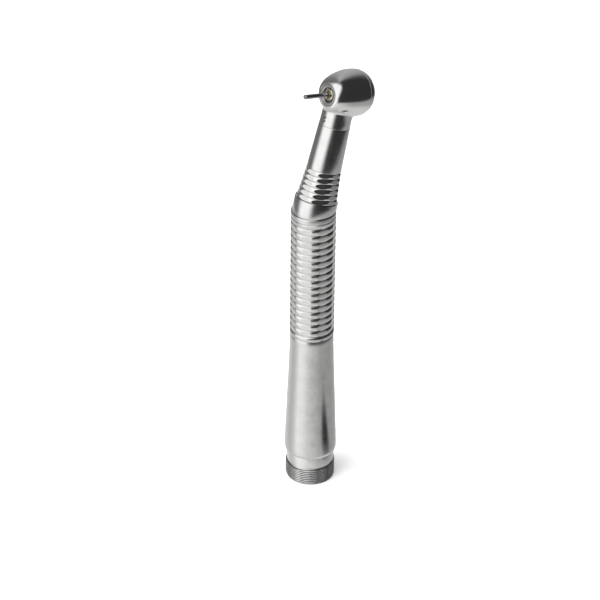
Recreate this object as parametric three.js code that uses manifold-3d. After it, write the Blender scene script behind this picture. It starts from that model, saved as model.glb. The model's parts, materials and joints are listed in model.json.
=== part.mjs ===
// High-speed dental air-turbine handpiece with a wrench-tightened chuck and a four-hole hose end.
// Millimetres, +Z up along the handle. The origin is the centre of the hose seat: the flat face,
// recessed inside the threaded end, that the hose coupling presses against.
// The neck leans towards +Y and the bur points towards -Y. The object is symmetric about x = 0
// outside; only the air and water passages and the chuck slits break that symmetry inside.
import * as THREE from "three";
import { mergeVertices } from "three/addons/utils/BufferGeometryUtils.js";
import Module from "manifold-3d";

const wasm = await Module();
wasm.setup();

// ---------------------------------------------------------------- driving dimensions

const SLIP = 0.04;                 // gap between parts that slide or turn on each other
const SEAM = 0.03;                 // gap at the face of a closed joint
const EDGE = 0.1;                  // small chamfer on turned corners
const CLEAR = 0.3;                 // open gap past the end of a part in its bore
const PAST = 0.5;                  // how far a cutter runs past the surface it leaves

const LARGE_TURN = 24;             // sides of the big outside surfaces
const SMALL_TURN = 20;             // sides of bores, rings and races
const TUBE_SIDES = 8;

// Rear end. Heights in the handle frame are counted up from the rim of the thread.
const SEAT_HEIGHT = 4.5;           // the hose seat above the rim
const THREAD = { radius: 6.35, root: 5.9, pitch: 0.56, start: 0.35, turns: 8, rimRadius: 6.0 };
const COLLAR = { radius: 6.08, bottom: 4.95, top: 8.2, reliefRadius: 5.8 };
const SOCKET_RADIUS = 5.1;
const SOCKET_CHAMFER = 0.3;
const BLOCK_HEIGHT = 6;
const SPIGOT = { radius: 5.35, bore: 4.75, top: 16 };

// The four holes of the hose seat, on one circle.
const HOLE_CIRCLE = 2.7;
const DRIVE = { hole: 1.0, tube: 1.25, bore: 0.95, angle: 135 };
const EXHAUST = { hole: 1.65, angle: 45 };
const SPRAY = { hole: 0.7, tube: 0.8, bore: 0.55, airAngle: -45, waterAngle: -135 };
const TUBE_SOCKET_DEPTH = 2;
const TUBE_SOCKET_SLIP = 0.05;

// Grip sleeve: a long taper below, a ribbed cylinder above.
const SLEEVE = { bottom: 8.25, top: 79.7, bore: 4.7, mouth: 0.5, topChamfer: [0.15, 0.2] };
const TAPER = [[6.48, 8.25], [6.66, 8.9], [6.7, 9.8], [6.35, 19.4], [5.86, 31.9], [5.55, 42.5]];
const GRIP = { radius: 5.63, end: 44.07, firstGroove: 45.41, pitch: 1.858, grooves: 18, depth: 0.3 };
const TOP_LINE = { height: 78.3, depth: 0.1, width: 0.24 };

// Bend and neck. Neck heights are counted along the neck from where its axis meets the handle's.
const BEND = { height: 79.2, degrees: 15.93, halfLength: 1.5 };
const NECK_SPIGOT = { radius: 4.41, bore: 3.68, bottom: 70, blendTop: 2.5 };
const NECK_BORE = { lower: 3.6, upper: 3.1, lowerEnd: 12, upperStart: 17 };
const NECK_TAPER = [[5.42, -6], [5.35, 1], [5.22, 3.3]];
const BAND = { bottom: 3.35, top: 11.5, rings: 6, bottomRadius: 5.22, topRadius: 4.42, bore: 4.02 };
const BAND_GROOVE_DEPTH = 0.32;
const NECK_TOP = { bottomRadius: 4.3, topRadius: 3.86, top: 22.85 };

// Head. Head heights are counted along the bur from where its axis meets the neck's.
const HEAD_ON_NECK = 30.95;
const BUR_RISE_DEGREES = 14.06;
const NOSE = { height: 4.8, radius: 2.9, hole: 1.8, wall: 0.7 };
const BELL = { radius: 5.85, height: -2.8 };
const BACK = { height: -7.1, flatRadius: 3.2, wrenchHole: 1.4 };
const CAP_JOINT = 0.22;            // where the cap joint lies along the curve from bell to back
const STEM = { spigot: 3.05, spigotBottom: 18.5, radius: 3.86, topRadius: 3.78, top: 29 };
const CHAMBER = { radius: 4.45, front: 1.45, back: -2.7 };
const CAP_THREAD = { bore: 4.95, plug: 4.88 };
const CAP_SEAL = { radius: 5.14, tube: 0.16, pocketRadius: 5.36, pocketDepth: 0.4, lift: 0.19 };
const CAP_SLOT = { width: 1.7, floor: 4.35, top: -5.9, count: 4 };

// Turbine cartridge: 1/8 inch bore bearings of 1/4 inch outside diameter.
const BEARING = { outer: 3.13, inner: 1.62, width: 2.38, front: 2.74, back: -3.81, seat: 3.2 };
const BALL = { radius: 0.46, circle: 2.395, count: 7, firstStep: 0.3 };
const CAGE = { inner: 2.27, outer: 2.49, halfWidth: 0.6 };
const CUSHION = { radius: 3.45, tube: 0.27, pocketRadius: 3.78, halfPocket: 0.4 };
const SPINDLE = { radius: 1.58, bore: 1.15, flange: 1.98, front: 4.5, back: -5.2 };
const IMPELLER = { hub: 2.6, radius: 4.3, front: 1.1, back: -2.2, blades: 12, bore: 2.02 };
const COLLET = { outer: 1.1, inner: 0.84, front: 4.35, back: -3.2, slits: 3, slitWidth: 0.25, slitEnd: -1 };
const CHUCK_SCREW = { front: -3.42, back: -5.05, socket: 0.6, socketDepth: 0.7 };
const BUR = {
  shank: 0.8, shankEnd: 5.6, back: -3, pin: 0.57, tip: 12.15, chamfer: 0.12, neckDown: [0.1, 0.2],
};
const WASHER = { inner: 2.2, outer: 3.1, thickness: 0.15, wave: 0.12, waves: 3, height: -5.24 };
const SPRAY_TIP = {
  radius: 0.33, bore: 0.17, rise: 35, length: 1.6, recess: 0.15, duct: 0.25, heights: [24.1, 25.05],
};

// ---------------------------------------------------------------- materials

function metal(color, roughness) {
  return new THREE.MeshStandardMaterial({ color, roughness, metalness: 1 });
}

const satinPlate = () => metal(0xc9c9c6, 0.35);
const polishedPlate = () => metal(0xd6d6d4, 0.12);
const threadSteel = () => metal(0xa9abac, 0.3);
const bearingSteel = () => metal(0xb8babc, 0.2);
const tubeSteel = () => metal(0xb0b2b3, 0.3);
const anodised = () => metal(0xc4c8cc, 0.35);
const colletBrass = () => metal(0xc9b37a, 0.25);
const burSteel = () => metal(0x6a6c6e, 0.3);
const rubber = () => new THREE.MeshStandardMaterial({ color: 0x1c1c1d, roughness: 0.8, metalness: 0 });
const cagePolymer = () => new THREE.MeshStandardMaterial({ color: 0x8a6a3c, roughness: 0.6, metalness: 0 });

// ---------------------------------------------------------------- solids

const radians = THREE.MathUtils.degToRad;

// A closed Manifold solid from any closed three.js geometry.
function solid(geometry) {
  const bare = geometry.index ? geometry.toNonIndexed() : geometry.clone();
  bare.deleteAttribute("normal");
  bare.deleteAttribute("uv");
  const welded = mergeVertices(bare, 1e-5);
  const corners = welded.index.array;
  const triangles = [];
  for (let i = 0; i < corners.length; i += 3) {
    const [a, b, c] = [corners[i], corners[i + 1], corners[i + 2]];
    if (a !== b && b !== c && c !== a) {
      triangles.push(a, b, c);
    }
  }
  const places = welded.attributes.position.array;
  if (signedVolume(places, triangles) < 0) {
    triangles.reverse();
  }
  return new wasm.Manifold(new wasm.Mesh({
    numProp: 3,
    vertProperties: Float32Array.from(places),
    triVerts: Uint32Array.from(triangles),
  }));
}

function signedVolume(places, triangles) {
  const corner = (index) => new THREE.Vector3().fromArray(places, 3 * index);
  let sum = 0;
  for (let i = 0; i < triangles.length; i += 3) {
    const [a, b, c] = [corner(triangles[i]), corner(triangles[i + 1]), corner(triangles[i + 2])];
    sum += a.dot(b.cross(c));
  }
  return sum;
}

function geometryOf(body) {
  const mesh = body.getMesh();
  const places = new Float32Array(3 * mesh.numVert);
  for (let i = 0; i < mesh.numVert; i += 1) {
    for (let k = 0; k < 3; k += 1) {
      places[3 * i + k] = mesh.vertProperties[mesh.numProp * i + k];
    }
  }
  const geometry = new THREE.BufferGeometry();
  geometry.setAttribute("position", new THREE.BufferAttribute(places, 3));
  geometry.setIndex([...mesh.triVerts]);
  geometry.computeVertexNormals();
  return geometry;
}

// Turns a closed outline of [radius, height] points about +Z.
function turned(outline, sides = SMALL_TURN) {
  const points = outline.map(([radius, height]) => new THREE.Vector2(radius, height));
  points.push(points[0].clone());
  const geometry = new THREE.LatheGeometry(points, sides);
  geometry.rotateX(Math.PI / 2);
  return geometry;
}

// A round bar between two points.
function bar(from, to, radius, sides = 12) {
  const start = new THREE.Vector3(...from);
  const along = new THREE.Vector3(...to).sub(start);
  const geometry = new THREE.CylinderGeometry(radius, radius, along.length(), sides);
  geometry.translate(0, along.length() / 2, 0);
  const turn = new THREE.Quaternion().setFromUnitVectors(
    new THREE.Vector3(0, 1, 0),
    along.clone().normalize(),
  );
  geometry.applyQuaternion(turn);
  geometry.translate(start.x, start.y, start.z);
  return geometry;
}

// A ring of round section about +Z.
function roundRing(radius, tube, height) {
  const geometry = new THREE.TorusGeometry(radius, tube, 6, SMALL_TURN);
  geometry.translate(0, 0, height);
  return geometry;
}

function onCircle(radius, degrees, height) {
  const angle = radians(degrees);
  return [radius * Math.cos(angle), radius * Math.sin(angle), height];
}

// Outline points of a row of ring-shaped grooves, with one crest between each groove and the next.
function grooved(heights, pitch, depth, radiusAt) {
  const first = heights[0] - pitch / 2;
  return [
    [radiusAt(first), first],
    ...heights.flatMap((height) => [
      [radiusAt(height) - depth, height],
      [radiusAt(height + pitch / 2), height + pitch / 2],
    ]),
  ];
}

function steps(count, first, step) {
  return Array.from({ length: count }, (_, index) => first + step * index);
}

// ---------------------------------------------------------------- frames

const object = new THREE.Group();
const handle = new THREE.Group();
const neck = new THREE.Group();
const head = new THREE.Group();
object.add(handle);
handle.add(neck);
neck.add(head);

handle.position.z = -SEAT_HEIGHT;
neck.position.z = BEND.height;
neck.rotation.x = -radians(BEND.degrees);
head.position.z = HEAD_ON_NECK;
head.rotation.x = radians(90 - BUR_RISE_DEGREES + BEND.degrees);
object.updateMatrixWorld(true);

const neckToHead = head.matrix.clone().invert();

function addPart(frame, name, body, material) {
  const geometry = body.isBufferGeometry ? geometryOf(solid(body)) : geometryOf(body);
  const mesh = new THREE.Mesh(geometry, material);
  mesh.name = name;
  frame.add(mesh);
}

// Carries a point of a straight handle onto the bent one.
const BEND_ANGLE = radians(BEND.degrees);
const BEND_RADIUS = BEND.halfLength / Math.tan(BEND_ANGLE / 2);
const BEND_START = BEND.height - BEND.halfLength;
const BEND_ARC = BEND_RADIUS * BEND_ANGLE;

function bent(point) {
  const past = point.z - BEND_START;
  if (past <= 0) {
    return point;
  }
  const angle = Math.min(past / BEND_RADIUS, BEND_ANGLE);
  const straight = Math.max(past - BEND_ARC, 0);
  const reach = BEND_RADIUS - point.y;
  const y = BEND_RADIUS - reach * Math.cos(angle) + straight * Math.sin(angle);
  const z = BEND_START + reach * Math.sin(angle) + straight * Math.cos(angle);
  return point.set(point.x, y, z);
}

// The straight handle's height of a place that is `along` the neck past the bend point.
function unbentHeight(along) {
  return along + BEND.height + BEND_ARC - 2 * BEND.halfLength;
}

function bentGeometry(geometry) {
  const places = geometry.attributes.position;
  const point = new THREE.Vector3();
  for (let i = 0; i < places.count; i += 1) {
    bent(point.fromBufferAttribute(places, i));
    places.setXYZ(i, point.x, point.y, point.z);
  }
  return geometry;
}

// ---------------------------------------------------------------- rear connector

function threadOutline() {
  const heights = steps(THREAD.turns, THREAD.start, THREAD.pitch);
  return heights.flatMap((height) => [
    [THREAD.radius, height],
    [THREAD.root, height + THREAD.pitch / 2],
  ]);
}

function rearConnector() {
  const seatTop = SEAT_HEIGHT + BLOCK_HEIGHT + SLIP;
  return turned([
    [THREAD.rimRadius, 0],
    ...threadOutline(),
    [COLLAR.reliefRadius, COLLAR.bottom - EDGE],
    [COLLAR.radius, COLLAR.bottom],
    [COLLAR.radius, COLLAR.top],
    [SPIGOT.radius, COLLAR.top],
    [SPIGOT.radius, SPIGOT.top],
    [SPIGOT.bore, SPIGOT.top],
    [SPIGOT.bore, seatTop],
    [SOCKET_RADIUS, seatTop],
    [SOCKET_RADIUS, SOCKET_CHAMFER],
    [SOCKET_RADIUS + SOCKET_CHAMFER, 0],
  ], LARGE_TURN);
}

function connectorBlock() {
  const top = SEAT_HEIGHT + BLOCK_HEIGHT;
  let block = solid(turned([
    [0, SEAT_HEIGHT],
    [SOCKET_RADIUS - SLIP, SEAT_HEIGHT],
    [SOCKET_RADIUS - SLIP, top],
    [0, top],
  ], LARGE_TURN));
  const drill = (angle, radius, from) => {
    const start = onCircle(HOLE_CIRCLE, angle, from);
    const end = onCircle(HOLE_CIRCLE, angle, top + 1);
    block = block.subtract(solid(bar(start, end, radius, 16)));
  };
  const through = SEAT_HEIGHT - 1;
  const socket = top - TUBE_SOCKET_DEPTH;
  drill(EXHAUST.angle, EXHAUST.hole, through);
  drill(DRIVE.angle, DRIVE.hole, through);
  drill(DRIVE.angle, DRIVE.tube + TUBE_SOCKET_SLIP, socket);
  for (const angle of [SPRAY.airAngle, SPRAY.waterAngle]) {
    drill(angle, SPRAY.hole, through);
    drill(angle, SPRAY.tube + TUBE_SOCKET_SLIP, socket);
  }
  return block;
}

addPart(handle, "rear_connector", rearConnector(), threadSteel());
addPart(handle, "connector_block", connectorBlock(), threadSteel());

// ---------------------------------------------------------------- grip sleeve

function gripSleeve() {
  const grooves = steps(GRIP.grooves, GRIP.firstGroove, GRIP.pitch);
  const spigotBore = NECK_SPIGOT.radius + SLIP;
  const mouth = spigotBore + SLEEVE.mouth;
  return turned([
    ...TAPER,
    [TAPER.at(-1)[0], GRIP.end - EDGE],
    [GRIP.radius, GRIP.end + EDGE],
    ...grooved(grooves, GRIP.pitch, GRIP.depth, () => GRIP.radius),
    ...grooved([TOP_LINE.height], TOP_LINE.width, TOP_LINE.depth, () => GRIP.radius),
    [GRIP.radius, SLEEVE.top - SLEEVE.topChamfer[1]],
    [GRIP.radius - SLEEVE.topChamfer[0], SLEEVE.top],
    [mouth, SLEEVE.top],
    [mouth, BEND_START - EDGE],
    [spigotBore, BEND_START - EDGE],
    [spigotBore, NECK_SPIGOT.bottom],
    [SLEEVE.bore, NECK_SPIGOT.bottom],
    [SLEEVE.bore, SPIGOT.top + CLEAR],
    [SPIGOT.radius + SLIP, SPIGOT.top + CLEAR],
    [SPIGOT.radius + SLIP, SLEEVE.bottom],
  ], LARGE_TURN);
}

addPart(handle, "grip_sleeve", gripSleeve(), satinPlate());

// ---------------------------------------------------------------- neck

function alongNeck(outline) {
  return outline.map(([radius, along]) => [radius, unbentHeight(along)]);
}

function neckTube() {
  const shell = bentGeometry(turned([
    ...alongNeck(steps(4, NECK_TAPER[0][1], 2).map((along) => [NECK_TAPER[0][0], along])),
    ...alongNeck(NECK_TAPER.slice(1)),
    ...alongNeck([
      [BAND.bore - SLIP, BAND.bottom - SEAM],
      [BAND.bore - SLIP, BAND.top + SEAM],
      [NECK_TOP.bottomRadius, BAND.top + SEAM],
      [NECK_TOP.topRadius, NECK_TOP.top],
      [NECK_BORE.upper, NECK_TOP.top],
      [NECK_BORE.upper, NECK_BORE.upperStart],
      [NECK_BORE.lower, NECK_BORE.lowerEnd],
      ...steps(4, 2, -2).map((along) => [NECK_BORE.lower, along]),
    ]),
  ], LARGE_TURN));
  const spigotTop = unbentHeight(NECK_SPIGOT.blendTop);
  const spigotLevels = [NECK_SPIGOT.bottom + SLIP, BEND_START, BEND_START + 1, BEND_START + 2, spigotTop];
  const spigot = bentGeometry(turned([
    ...spigotLevels.map((height) => [NECK_SPIGOT.radius, height]),
    ...spigotLevels.toReversed().map((height) => [NECK_SPIGOT.bore, height]),
  ], LARGE_TURN));
  const below = new THREE.BoxGeometry(30, 30, 30);
  below.translate(0, 0, SLEEVE.top + SEAM - 15);
  return solid(shell).subtract(solid(below)).add(solid(spigot));
}

function polishedBand() {
  const ringPitch = (BAND.top - BAND.bottom) / BAND.rings;
  const radiusAt = (along) => THREE.MathUtils.mapLinear(
    along,
    BAND.bottom,
    BAND.top,
    BAND.bottomRadius,
    BAND.topRadius,
  );
  const grooves = steps(BAND.rings, BAND.bottom + ringPitch / 2, ringPitch);
  return turned([
    ...grooved(grooves, ringPitch, BAND_GROOVE_DEPTH, radiusAt),
    [BAND.bore, BAND.top],
    [BAND.bore, BAND.bottom],
  ], LARGE_TURN);
}

addPart(handle, "neck_tube", neckTube(), polishedPlate());
addPart(neck, "polished_band", polishedBand(), polishedPlate());

// ---------------------------------------------------------------- air and water tubes

const NECK_LANES = {
  drive: [-1.45, 0.7],
  exhaust: [1.45, 0.7],
  air: [1, -1.75],
  water: [-1, -1.75],
};
// Heights between which a tube crosses from its hole to its lane, and straight runs beside the bend.
const TUBE_CROSSING = [22, 52];
const TUBE_RUNS = [1, 6];
const TUBE_STEPS = 16;
const TUBE_TOP = STEM.spigotBottom + 1;
const LANE_TOP = { exhaust: 27.6, drive: 27.2 };
const EXHAUST_LANE_RADIUS = 1.2;
const STEM_SOCKET_SLIP = 0.1;
const STEM_SOCKET_TOP = STEM.spigotBottom + TUBE_SOCKET_DEPTH;

// A tube from the connector block, up the handle and round the bend to the head's stem.
function innerTube(angle, lane, outer, inner) {
  const [startX, startY] = onCircle(HOLE_CIRCLE, angle, 0);
  const [endX, endY] = lane;
  const bottom = SEAT_HEIGHT + BLOCK_HEIGHT - TUBE_SOCKET_DEPTH + CLEAR;
  const path = new THREE.CatmullRomCurve3([
    new THREE.Vector3(startX, startY, bottom),
    new THREE.Vector3(startX, startY, (bottom + TUBE_CROSSING[0]) / 2),
    new THREE.Vector3(startX, startY, TUBE_CROSSING[0]),
    new THREE.Vector3(endX, endY, TUBE_CROSSING[1]),
    new THREE.Vector3(endX, endY, BEND_START - TUBE_RUNS[1]),
    new THREE.Vector3(endX, endY, BEND_START - TUBE_RUNS[0]),
    bent(new THREE.Vector3(endX, endY, BEND_START + BEND_ARC / 2)),
    bent(new THREE.Vector3(endX, endY, BEND_START + BEND_ARC + TUBE_RUNS[0])),
    bent(new THREE.Vector3(endX, endY, BEND_START + BEND_ARC + TUBE_RUNS[1])),
    bent(new THREE.Vector3(endX, endY, unbentHeight(TUBE_TOP - 2))),
    bent(new THREE.Vector3(endX, endY, unbentHeight(TUBE_TOP))),
  ], false, "centripetal");
  const section = new THREE.Shape();
  section.absarc(0, 0, outer, 0, 2 * Math.PI);
  const hole = new THREE.Path();
  hole.absarc(0, 0, inner, 0, 2 * Math.PI, true);
  section.holes.push(hole);
  return new THREE.ExtrudeGeometry(section, {
    steps: TUBE_STEPS,
    curveSegments: TUBE_SIDES / 2,
    extrudePath: path,
  });
}

const driveTube = innerTube(DRIVE.angle, NECK_LANES.drive, DRIVE.tube, DRIVE.bore);
const airTube = innerTube(SPRAY.airAngle, NECK_LANES.air, SPRAY.tube, SPRAY.bore);
const waterTube = innerTube(SPRAY.waterAngle, NECK_LANES.water, SPRAY.tube, SPRAY.bore);
addPart(handle, "drive_air_tube", driveTube, tubeSteel());
addPart(handle, "chip_air_tube", airTube, tubeSteel());
addPart(handle, "water_tube", waterTube, tubeSteel());

// ---------------------------------------------------------------- head housing and back cap

// The head's side is two curves that meet level at its widest ring; [radius, height] pairs shape them.
const NOSE_SHOULDER = [4.6, 4.5];
const NOSE_SIDE = [BELL.radius, 0];
const BACK_SIDE = [BELL.radius, -5.2];
const BACK_SHOULDER = [5, -7];
const noseCurve = new THREE.CubicBezierCurve(
  new THREE.Vector2(NOSE.radius, NOSE.height),
  new THREE.Vector2(...NOSE_SHOULDER),
  new THREE.Vector2(...NOSE_SIDE),
  new THREE.Vector2(BELL.radius, BELL.height),
);
const backCurve = new THREE.CubicBezierCurve(
  new THREE.Vector2(BELL.radius, BELL.height),
  new THREE.Vector2(...BACK_SIDE),
  new THREE.Vector2(...BACK_SHOULDER),
  new THREE.Vector2(BACK.flatRadius, BACK.height),
);
const CAP_FACE = backCurve.getPoint(CAP_JOINT).y;

function curvePoints(curve, from, to, count) {
  return steps(count + 1, from, (to - from) / count).map((t) => curve.getPoint(t).toArray());
}

// The spray nozzles leave the stem's front face and rise towards the bur's tip.
function sprayLine(height) {
  const rise = radians(SPRAY_TIP.rise);
  const out = [0, -Math.cos(rise), Math.sin(rise)];
  const mouth = [0, -STEM.topRadius, height];
  return (distance) => mouth.map((value, axis) => value + distance * out[axis]);
}

function stemPassages() {
  const below = STEM.spigotBottom - PAST;
  const lane = ([x, y], from, to, radius) => solid(bar([x, y, from], [x, y, to], radius));
  const passages = [
    lane(NECK_LANES.exhaust, below, LANE_TOP.exhaust, EXHAUST_LANE_RADIUS),
    lane(NECK_LANES.drive, below, LANE_TOP.drive, DRIVE.bore),
    lane(NECK_LANES.drive, below, STEM_SOCKET_TOP, DRIVE.tube + STEM_SOCKET_SLIP),
  ];
  for (const [index, side] of ["water", "air"].entries()) {
    const [x, y] = NECK_LANES[side];
    const line = sprayLine(SPRAY_TIP.heights[index]);
    const tipSeat = line(-SPRAY_TIP.length - EDGE);
    passages.push(lane(NECK_LANES[side], below, STEM_SOCKET_TOP, SPRAY.tube + STEM_SOCKET_SLIP));
    const ductStart = [x, y, STEM_SOCKET_TOP - 2 * EDGE];
    const ductEnd = line(2 * EDGE - SPRAY_TIP.length);
    passages.push(solid(bar(ductStart, ductEnd, SPRAY_TIP.duct, TUBE_SIDES)));
    passages.push(solid(bar(tipSeat, line(1), SPRAY_TIP.radius + SLIP)));
  }
  return wasm.Manifold.union(passages);
}

function headHousing() {
  const bell = solid(turned([
    [0, NOSE.height],
    ...curvePoints(noseCurve, 0, 1, 7),
    ...curvePoints(backCurve, 0, CAP_JOINT, 2).slice(1),
    [0, CAP_FACE],
  ], LARGE_TURN));
  const stem = turned([
    [0, STEM.spigotBottom],
    [STEM.spigot, STEM.spigotBottom],
    [STEM.spigot, NECK_TOP.top + SEAM],
    [STEM.radius, NECK_TOP.top + SEAM],
    [STEM.topRadius, STEM.top],
    [0, STEM.top],
  ], LARGE_TURN);
  const frontBore = NOSE.height - NOSE.wall;
  const cavity = turned([
    [0, NOSE.height + 1],
    [NOSE.hole, NOSE.height + 1],
    [NOSE.hole, frontBore],
    [BEARING.seat, frontBore],
    [BEARING.seat, BEARING.front + CUSHION.halfPocket],
    [CUSHION.pocketRadius, BEARING.front + CUSHION.halfPocket],
    [CUSHION.pocketRadius, BEARING.front - CUSHION.halfPocket],
    [BEARING.seat, BEARING.front - CUSHION.halfPocket],
    [BEARING.seat, CHAMBER.front],
    [CHAMBER.radius, CHAMBER.front],
    [CHAMBER.radius, CHAMBER.back],
    [CAP_THREAD.bore, CHAMBER.back],
    [CAP_THREAD.bore, CAP_FACE + CAP_SEAL.pocketDepth],
    [CAP_SEAL.pocketRadius, CAP_FACE + CAP_SEAL.pocketDepth],
    [CAP_SEAL.pocketRadius, CAP_FACE - 1],
    [0, CAP_FACE - 1],
  ], LARGE_TURN);
  const placedStem = solid(stem.applyMatrix4(neckToHead));
  const placedPassages = stemPassages().transform(neckToHead.elements);
  return bell.add(placedStem).subtract(solid(cavity)).subtract(placedPassages);
}

function backCap() {
  const seatEnd = BEARING.back - BEARING.width / 2 - PAST;
  let cap = solid(turned([
    [BEARING.seat, CHAMBER.back - SLIP],
    [CAP_THREAD.plug, CHAMBER.back - SLIP],
    [CAP_THREAD.plug, CAP_FACE - SEAM],
    ...curvePoints(backCurve, CAP_JOINT + 0.01, 1, 6),
    [BACK.wrenchHole, BACK.height],
    [BACK.wrenchHole, seatEnd],
    [BEARING.seat, seatEnd],
    [BEARING.seat, BEARING.back - CUSHION.halfPocket],
    [CUSHION.pocketRadius, BEARING.back - CUSHION.halfPocket],
    [CUSHION.pocketRadius, BEARING.back + CUSHION.halfPocket],
    [BEARING.seat, BEARING.back + CUSHION.halfPocket],
  ], LARGE_TURN));
  for (let i = 0; i < CAP_SLOT.count; i += 1) {
    const slot = new THREE.BoxGeometry(4, CAP_SLOT.width, 4);
    slot.translate(CAP_SLOT.floor + 2, 0, CAP_SLOT.top - 2);
    slot.rotateZ((2 * Math.PI * (i + 0.5)) / CAP_SLOT.count);
    cap = cap.subtract(solid(slot));
  }
  return cap;
}

addPart(head, "head_housing", headHousing(), polishedPlate());
addPart(head, "back_cap", backCap(), polishedPlate());
addPart(head, "cap_seal", roundRing(CAP_SEAL.radius, CAP_SEAL.tube, CAP_FACE + CAP_SEAL.lift), rubber());

// ---------------------------------------------------------------- spray nozzles

function sprayNozzle(height) {
  const line = sprayLine(height);
  const tip = solid(bar(line(-SPRAY_TIP.length), line(-SPRAY_TIP.recess), SPRAY_TIP.radius));
  return tip.subtract(solid(bar(line(-SPRAY_TIP.length - 1), line(1), SPRAY_TIP.bore, 8)));
}

addPart(neck, "water_nozzle", sprayNozzle(SPRAY_TIP.heights[0]), tubeSteel());
addPart(neck, "chip_air_nozzle", sprayNozzle(SPRAY_TIP.heights[1]), tubeSteel());

// ---------------------------------------------------------------- bearings

const GROOVE_HALF = 0.43;
const OUTER_LAND = { radius: 2.8, groove: 2.93 };
const INNER_LAND = { radius: 2, groove: 1.86 };
const halfBearing = BEARING.width / 2;

function outerRace(height) {
  return turned([
    [BEARING.outer, height - halfBearing],
    [BEARING.outer, height + halfBearing],
    [OUTER_LAND.radius, height + halfBearing],
    [OUTER_LAND.radius, height + GROOVE_HALF],
    [OUTER_LAND.groove, height],
    [OUTER_LAND.radius, height - GROOVE_HALF],
    [OUTER_LAND.radius, height - halfBearing],
  ]);
}

function innerRace(height) {
  return turned([
    [INNER_LAND.radius, height - halfBearing],
    [INNER_LAND.radius, height - GROOVE_HALF],
    [INNER_LAND.groove, height],
    [INNER_LAND.radius, height + GROOVE_HALF],
    [INNER_LAND.radius, height + halfBearing],
    [BEARING.inner, height + halfBearing],
    [BEARING.inner, height - halfBearing],
  ]);
}

function ballCage(height) {
  let cage = solid(turned([
    [CAGE.outer, height - CAGE.halfWidth],
    [CAGE.outer, height + CAGE.halfWidth],
    [CAGE.inner, height + CAGE.halfWidth],
    [CAGE.inner, height - CAGE.halfWidth],
  ]));
  for (let i = 0; i < BALL.count; i += 1) {
    const ball = new THREE.SphereGeometry(BALL.radius, 8, 5);
    ball.translate(...onCircle(BALL.circle, (360 * (i + BALL.firstStep)) / BALL.count, height));
    cage = cage.add(solid(ball));
  }
  return cage;
}

for (const [side, height] of [["front", BEARING.front], ["rear", BEARING.back]]) {
  addPart(head, `${side}_bearing_outer_race`, outerRace(height), bearingSteel());
  addPart(head, `${side}_bearing_inner_race`, innerRace(height), bearingSteel());
  addPart(head, `${side}_bearing_balls`, ballCage(height), cagePolymer());
  addPart(head, `${side}_cushion_ring`, roundRing(CUSHION.radius, CUSHION.tube, height), rubber());
}

// A flat ring bent into waves, which presses the rear bearing forward.
function waveWasher() {
  const geometry = turned([
    [WASHER.outer, -WASHER.thickness / 2],
    [WASHER.outer, WASHER.thickness / 2],
    [WASHER.inner, WASHER.thickness / 2],
    [WASHER.inner, -WASHER.thickness / 2],
  ], 24);
  const places = geometry.attributes.position;
  for (let i = 0; i < places.count; i += 1) {
    const angle = Math.atan2(places.getY(i), places.getX(i));
    const lift = (WASHER.wave / 2) * Math.sin(WASHER.waves * angle);
    places.setZ(i, places.getZ(i) + WASHER.height + lift);
  }
  return geometry;
}

addPart(head, "preload_washer", waveWasher(), bearingSteel());

// ---------------------------------------------------------------- rotor, chuck and bur

function spindle() {
  const shoulder = halfBearing + SLIP;
  return turned([
    [SPINDLE.radius, SPINDLE.back],
    [SPINDLE.radius, BEARING.back + shoulder],
    [SPINDLE.flange, BEARING.back + shoulder],
    [SPINDLE.flange, BEARING.front - shoulder],
    [SPINDLE.radius, BEARING.front - shoulder],
    [SPINDLE.radius, SPINDLE.front - EDGE],
    [SPINDLE.radius - EDGE, SPINDLE.front],
    [SPINDLE.bore, SPINDLE.front],
    [SPINDLE.bore, SPINDLE.back],
  ]);
}

function impeller() {
  const shape = new THREE.Shape();
  const pitch = (2 * Math.PI) / IMPELLER.blades;
  const polar = (radius, angle) => [radius * Math.cos(angle), radius * Math.sin(angle)];
  for (let i = 0; i < IMPELLER.blades; i += 1) {
    const angle = i * pitch;
    const corners = [
      polar(IMPELLER.hub, angle),
      polar(0.8 * IMPELLER.radius, angle + 0.05 * pitch),
      polar(IMPELLER.radius, angle + 0.3 * pitch),
      polar(IMPELLER.radius, angle + 0.5 * pitch),
      polar(0.8 * IMPELLER.radius, angle + 0.4 * pitch),
      polar(IMPELLER.hub, angle + 0.6 * pitch),
    ];
    for (const [index, [x, y]] of corners.entries()) {
      if (i + index === 0) {
        shape.moveTo(x, y);
      } else {
        shape.lineTo(x, y);
      }
    }
  }
  shape.closePath();
  const bore = new THREE.Path();
  bore.absarc(0, 0, IMPELLER.bore, 0, 2 * Math.PI, true);
  shape.holes.push(bore);
  const geometry = new THREE.ExtrudeGeometry(shape, {
    depth: IMPELLER.front - IMPELLER.back,
    curveSegments: SMALL_TURN,
    bevelEnabled: false,
  });
  geometry.translate(0, 0, IMPELLER.back);
  return geometry;
}

function collet() {
  let body = solid(turned([
    [COLLET.outer, COLLET.back],
    [COLLET.outer, COLLET.front],
    [COLLET.inner, COLLET.front],
    [COLLET.inner, COLLET.back],
  ]));
  for (let i = 0; i < COLLET.slits; i += 1) {
    const slit = new THREE.BoxGeometry(2, COLLET.slitWidth, COLLET.front - COLLET.slitEnd + 1);
    slit.translate(1, 0, (COLLET.front + COLLET.slitEnd + 1) / 2);
    slit.rotateZ((2 * Math.PI * i) / COLLET.slits);
    body = body.subtract(solid(slit));
  }
  return body;
}

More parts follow.
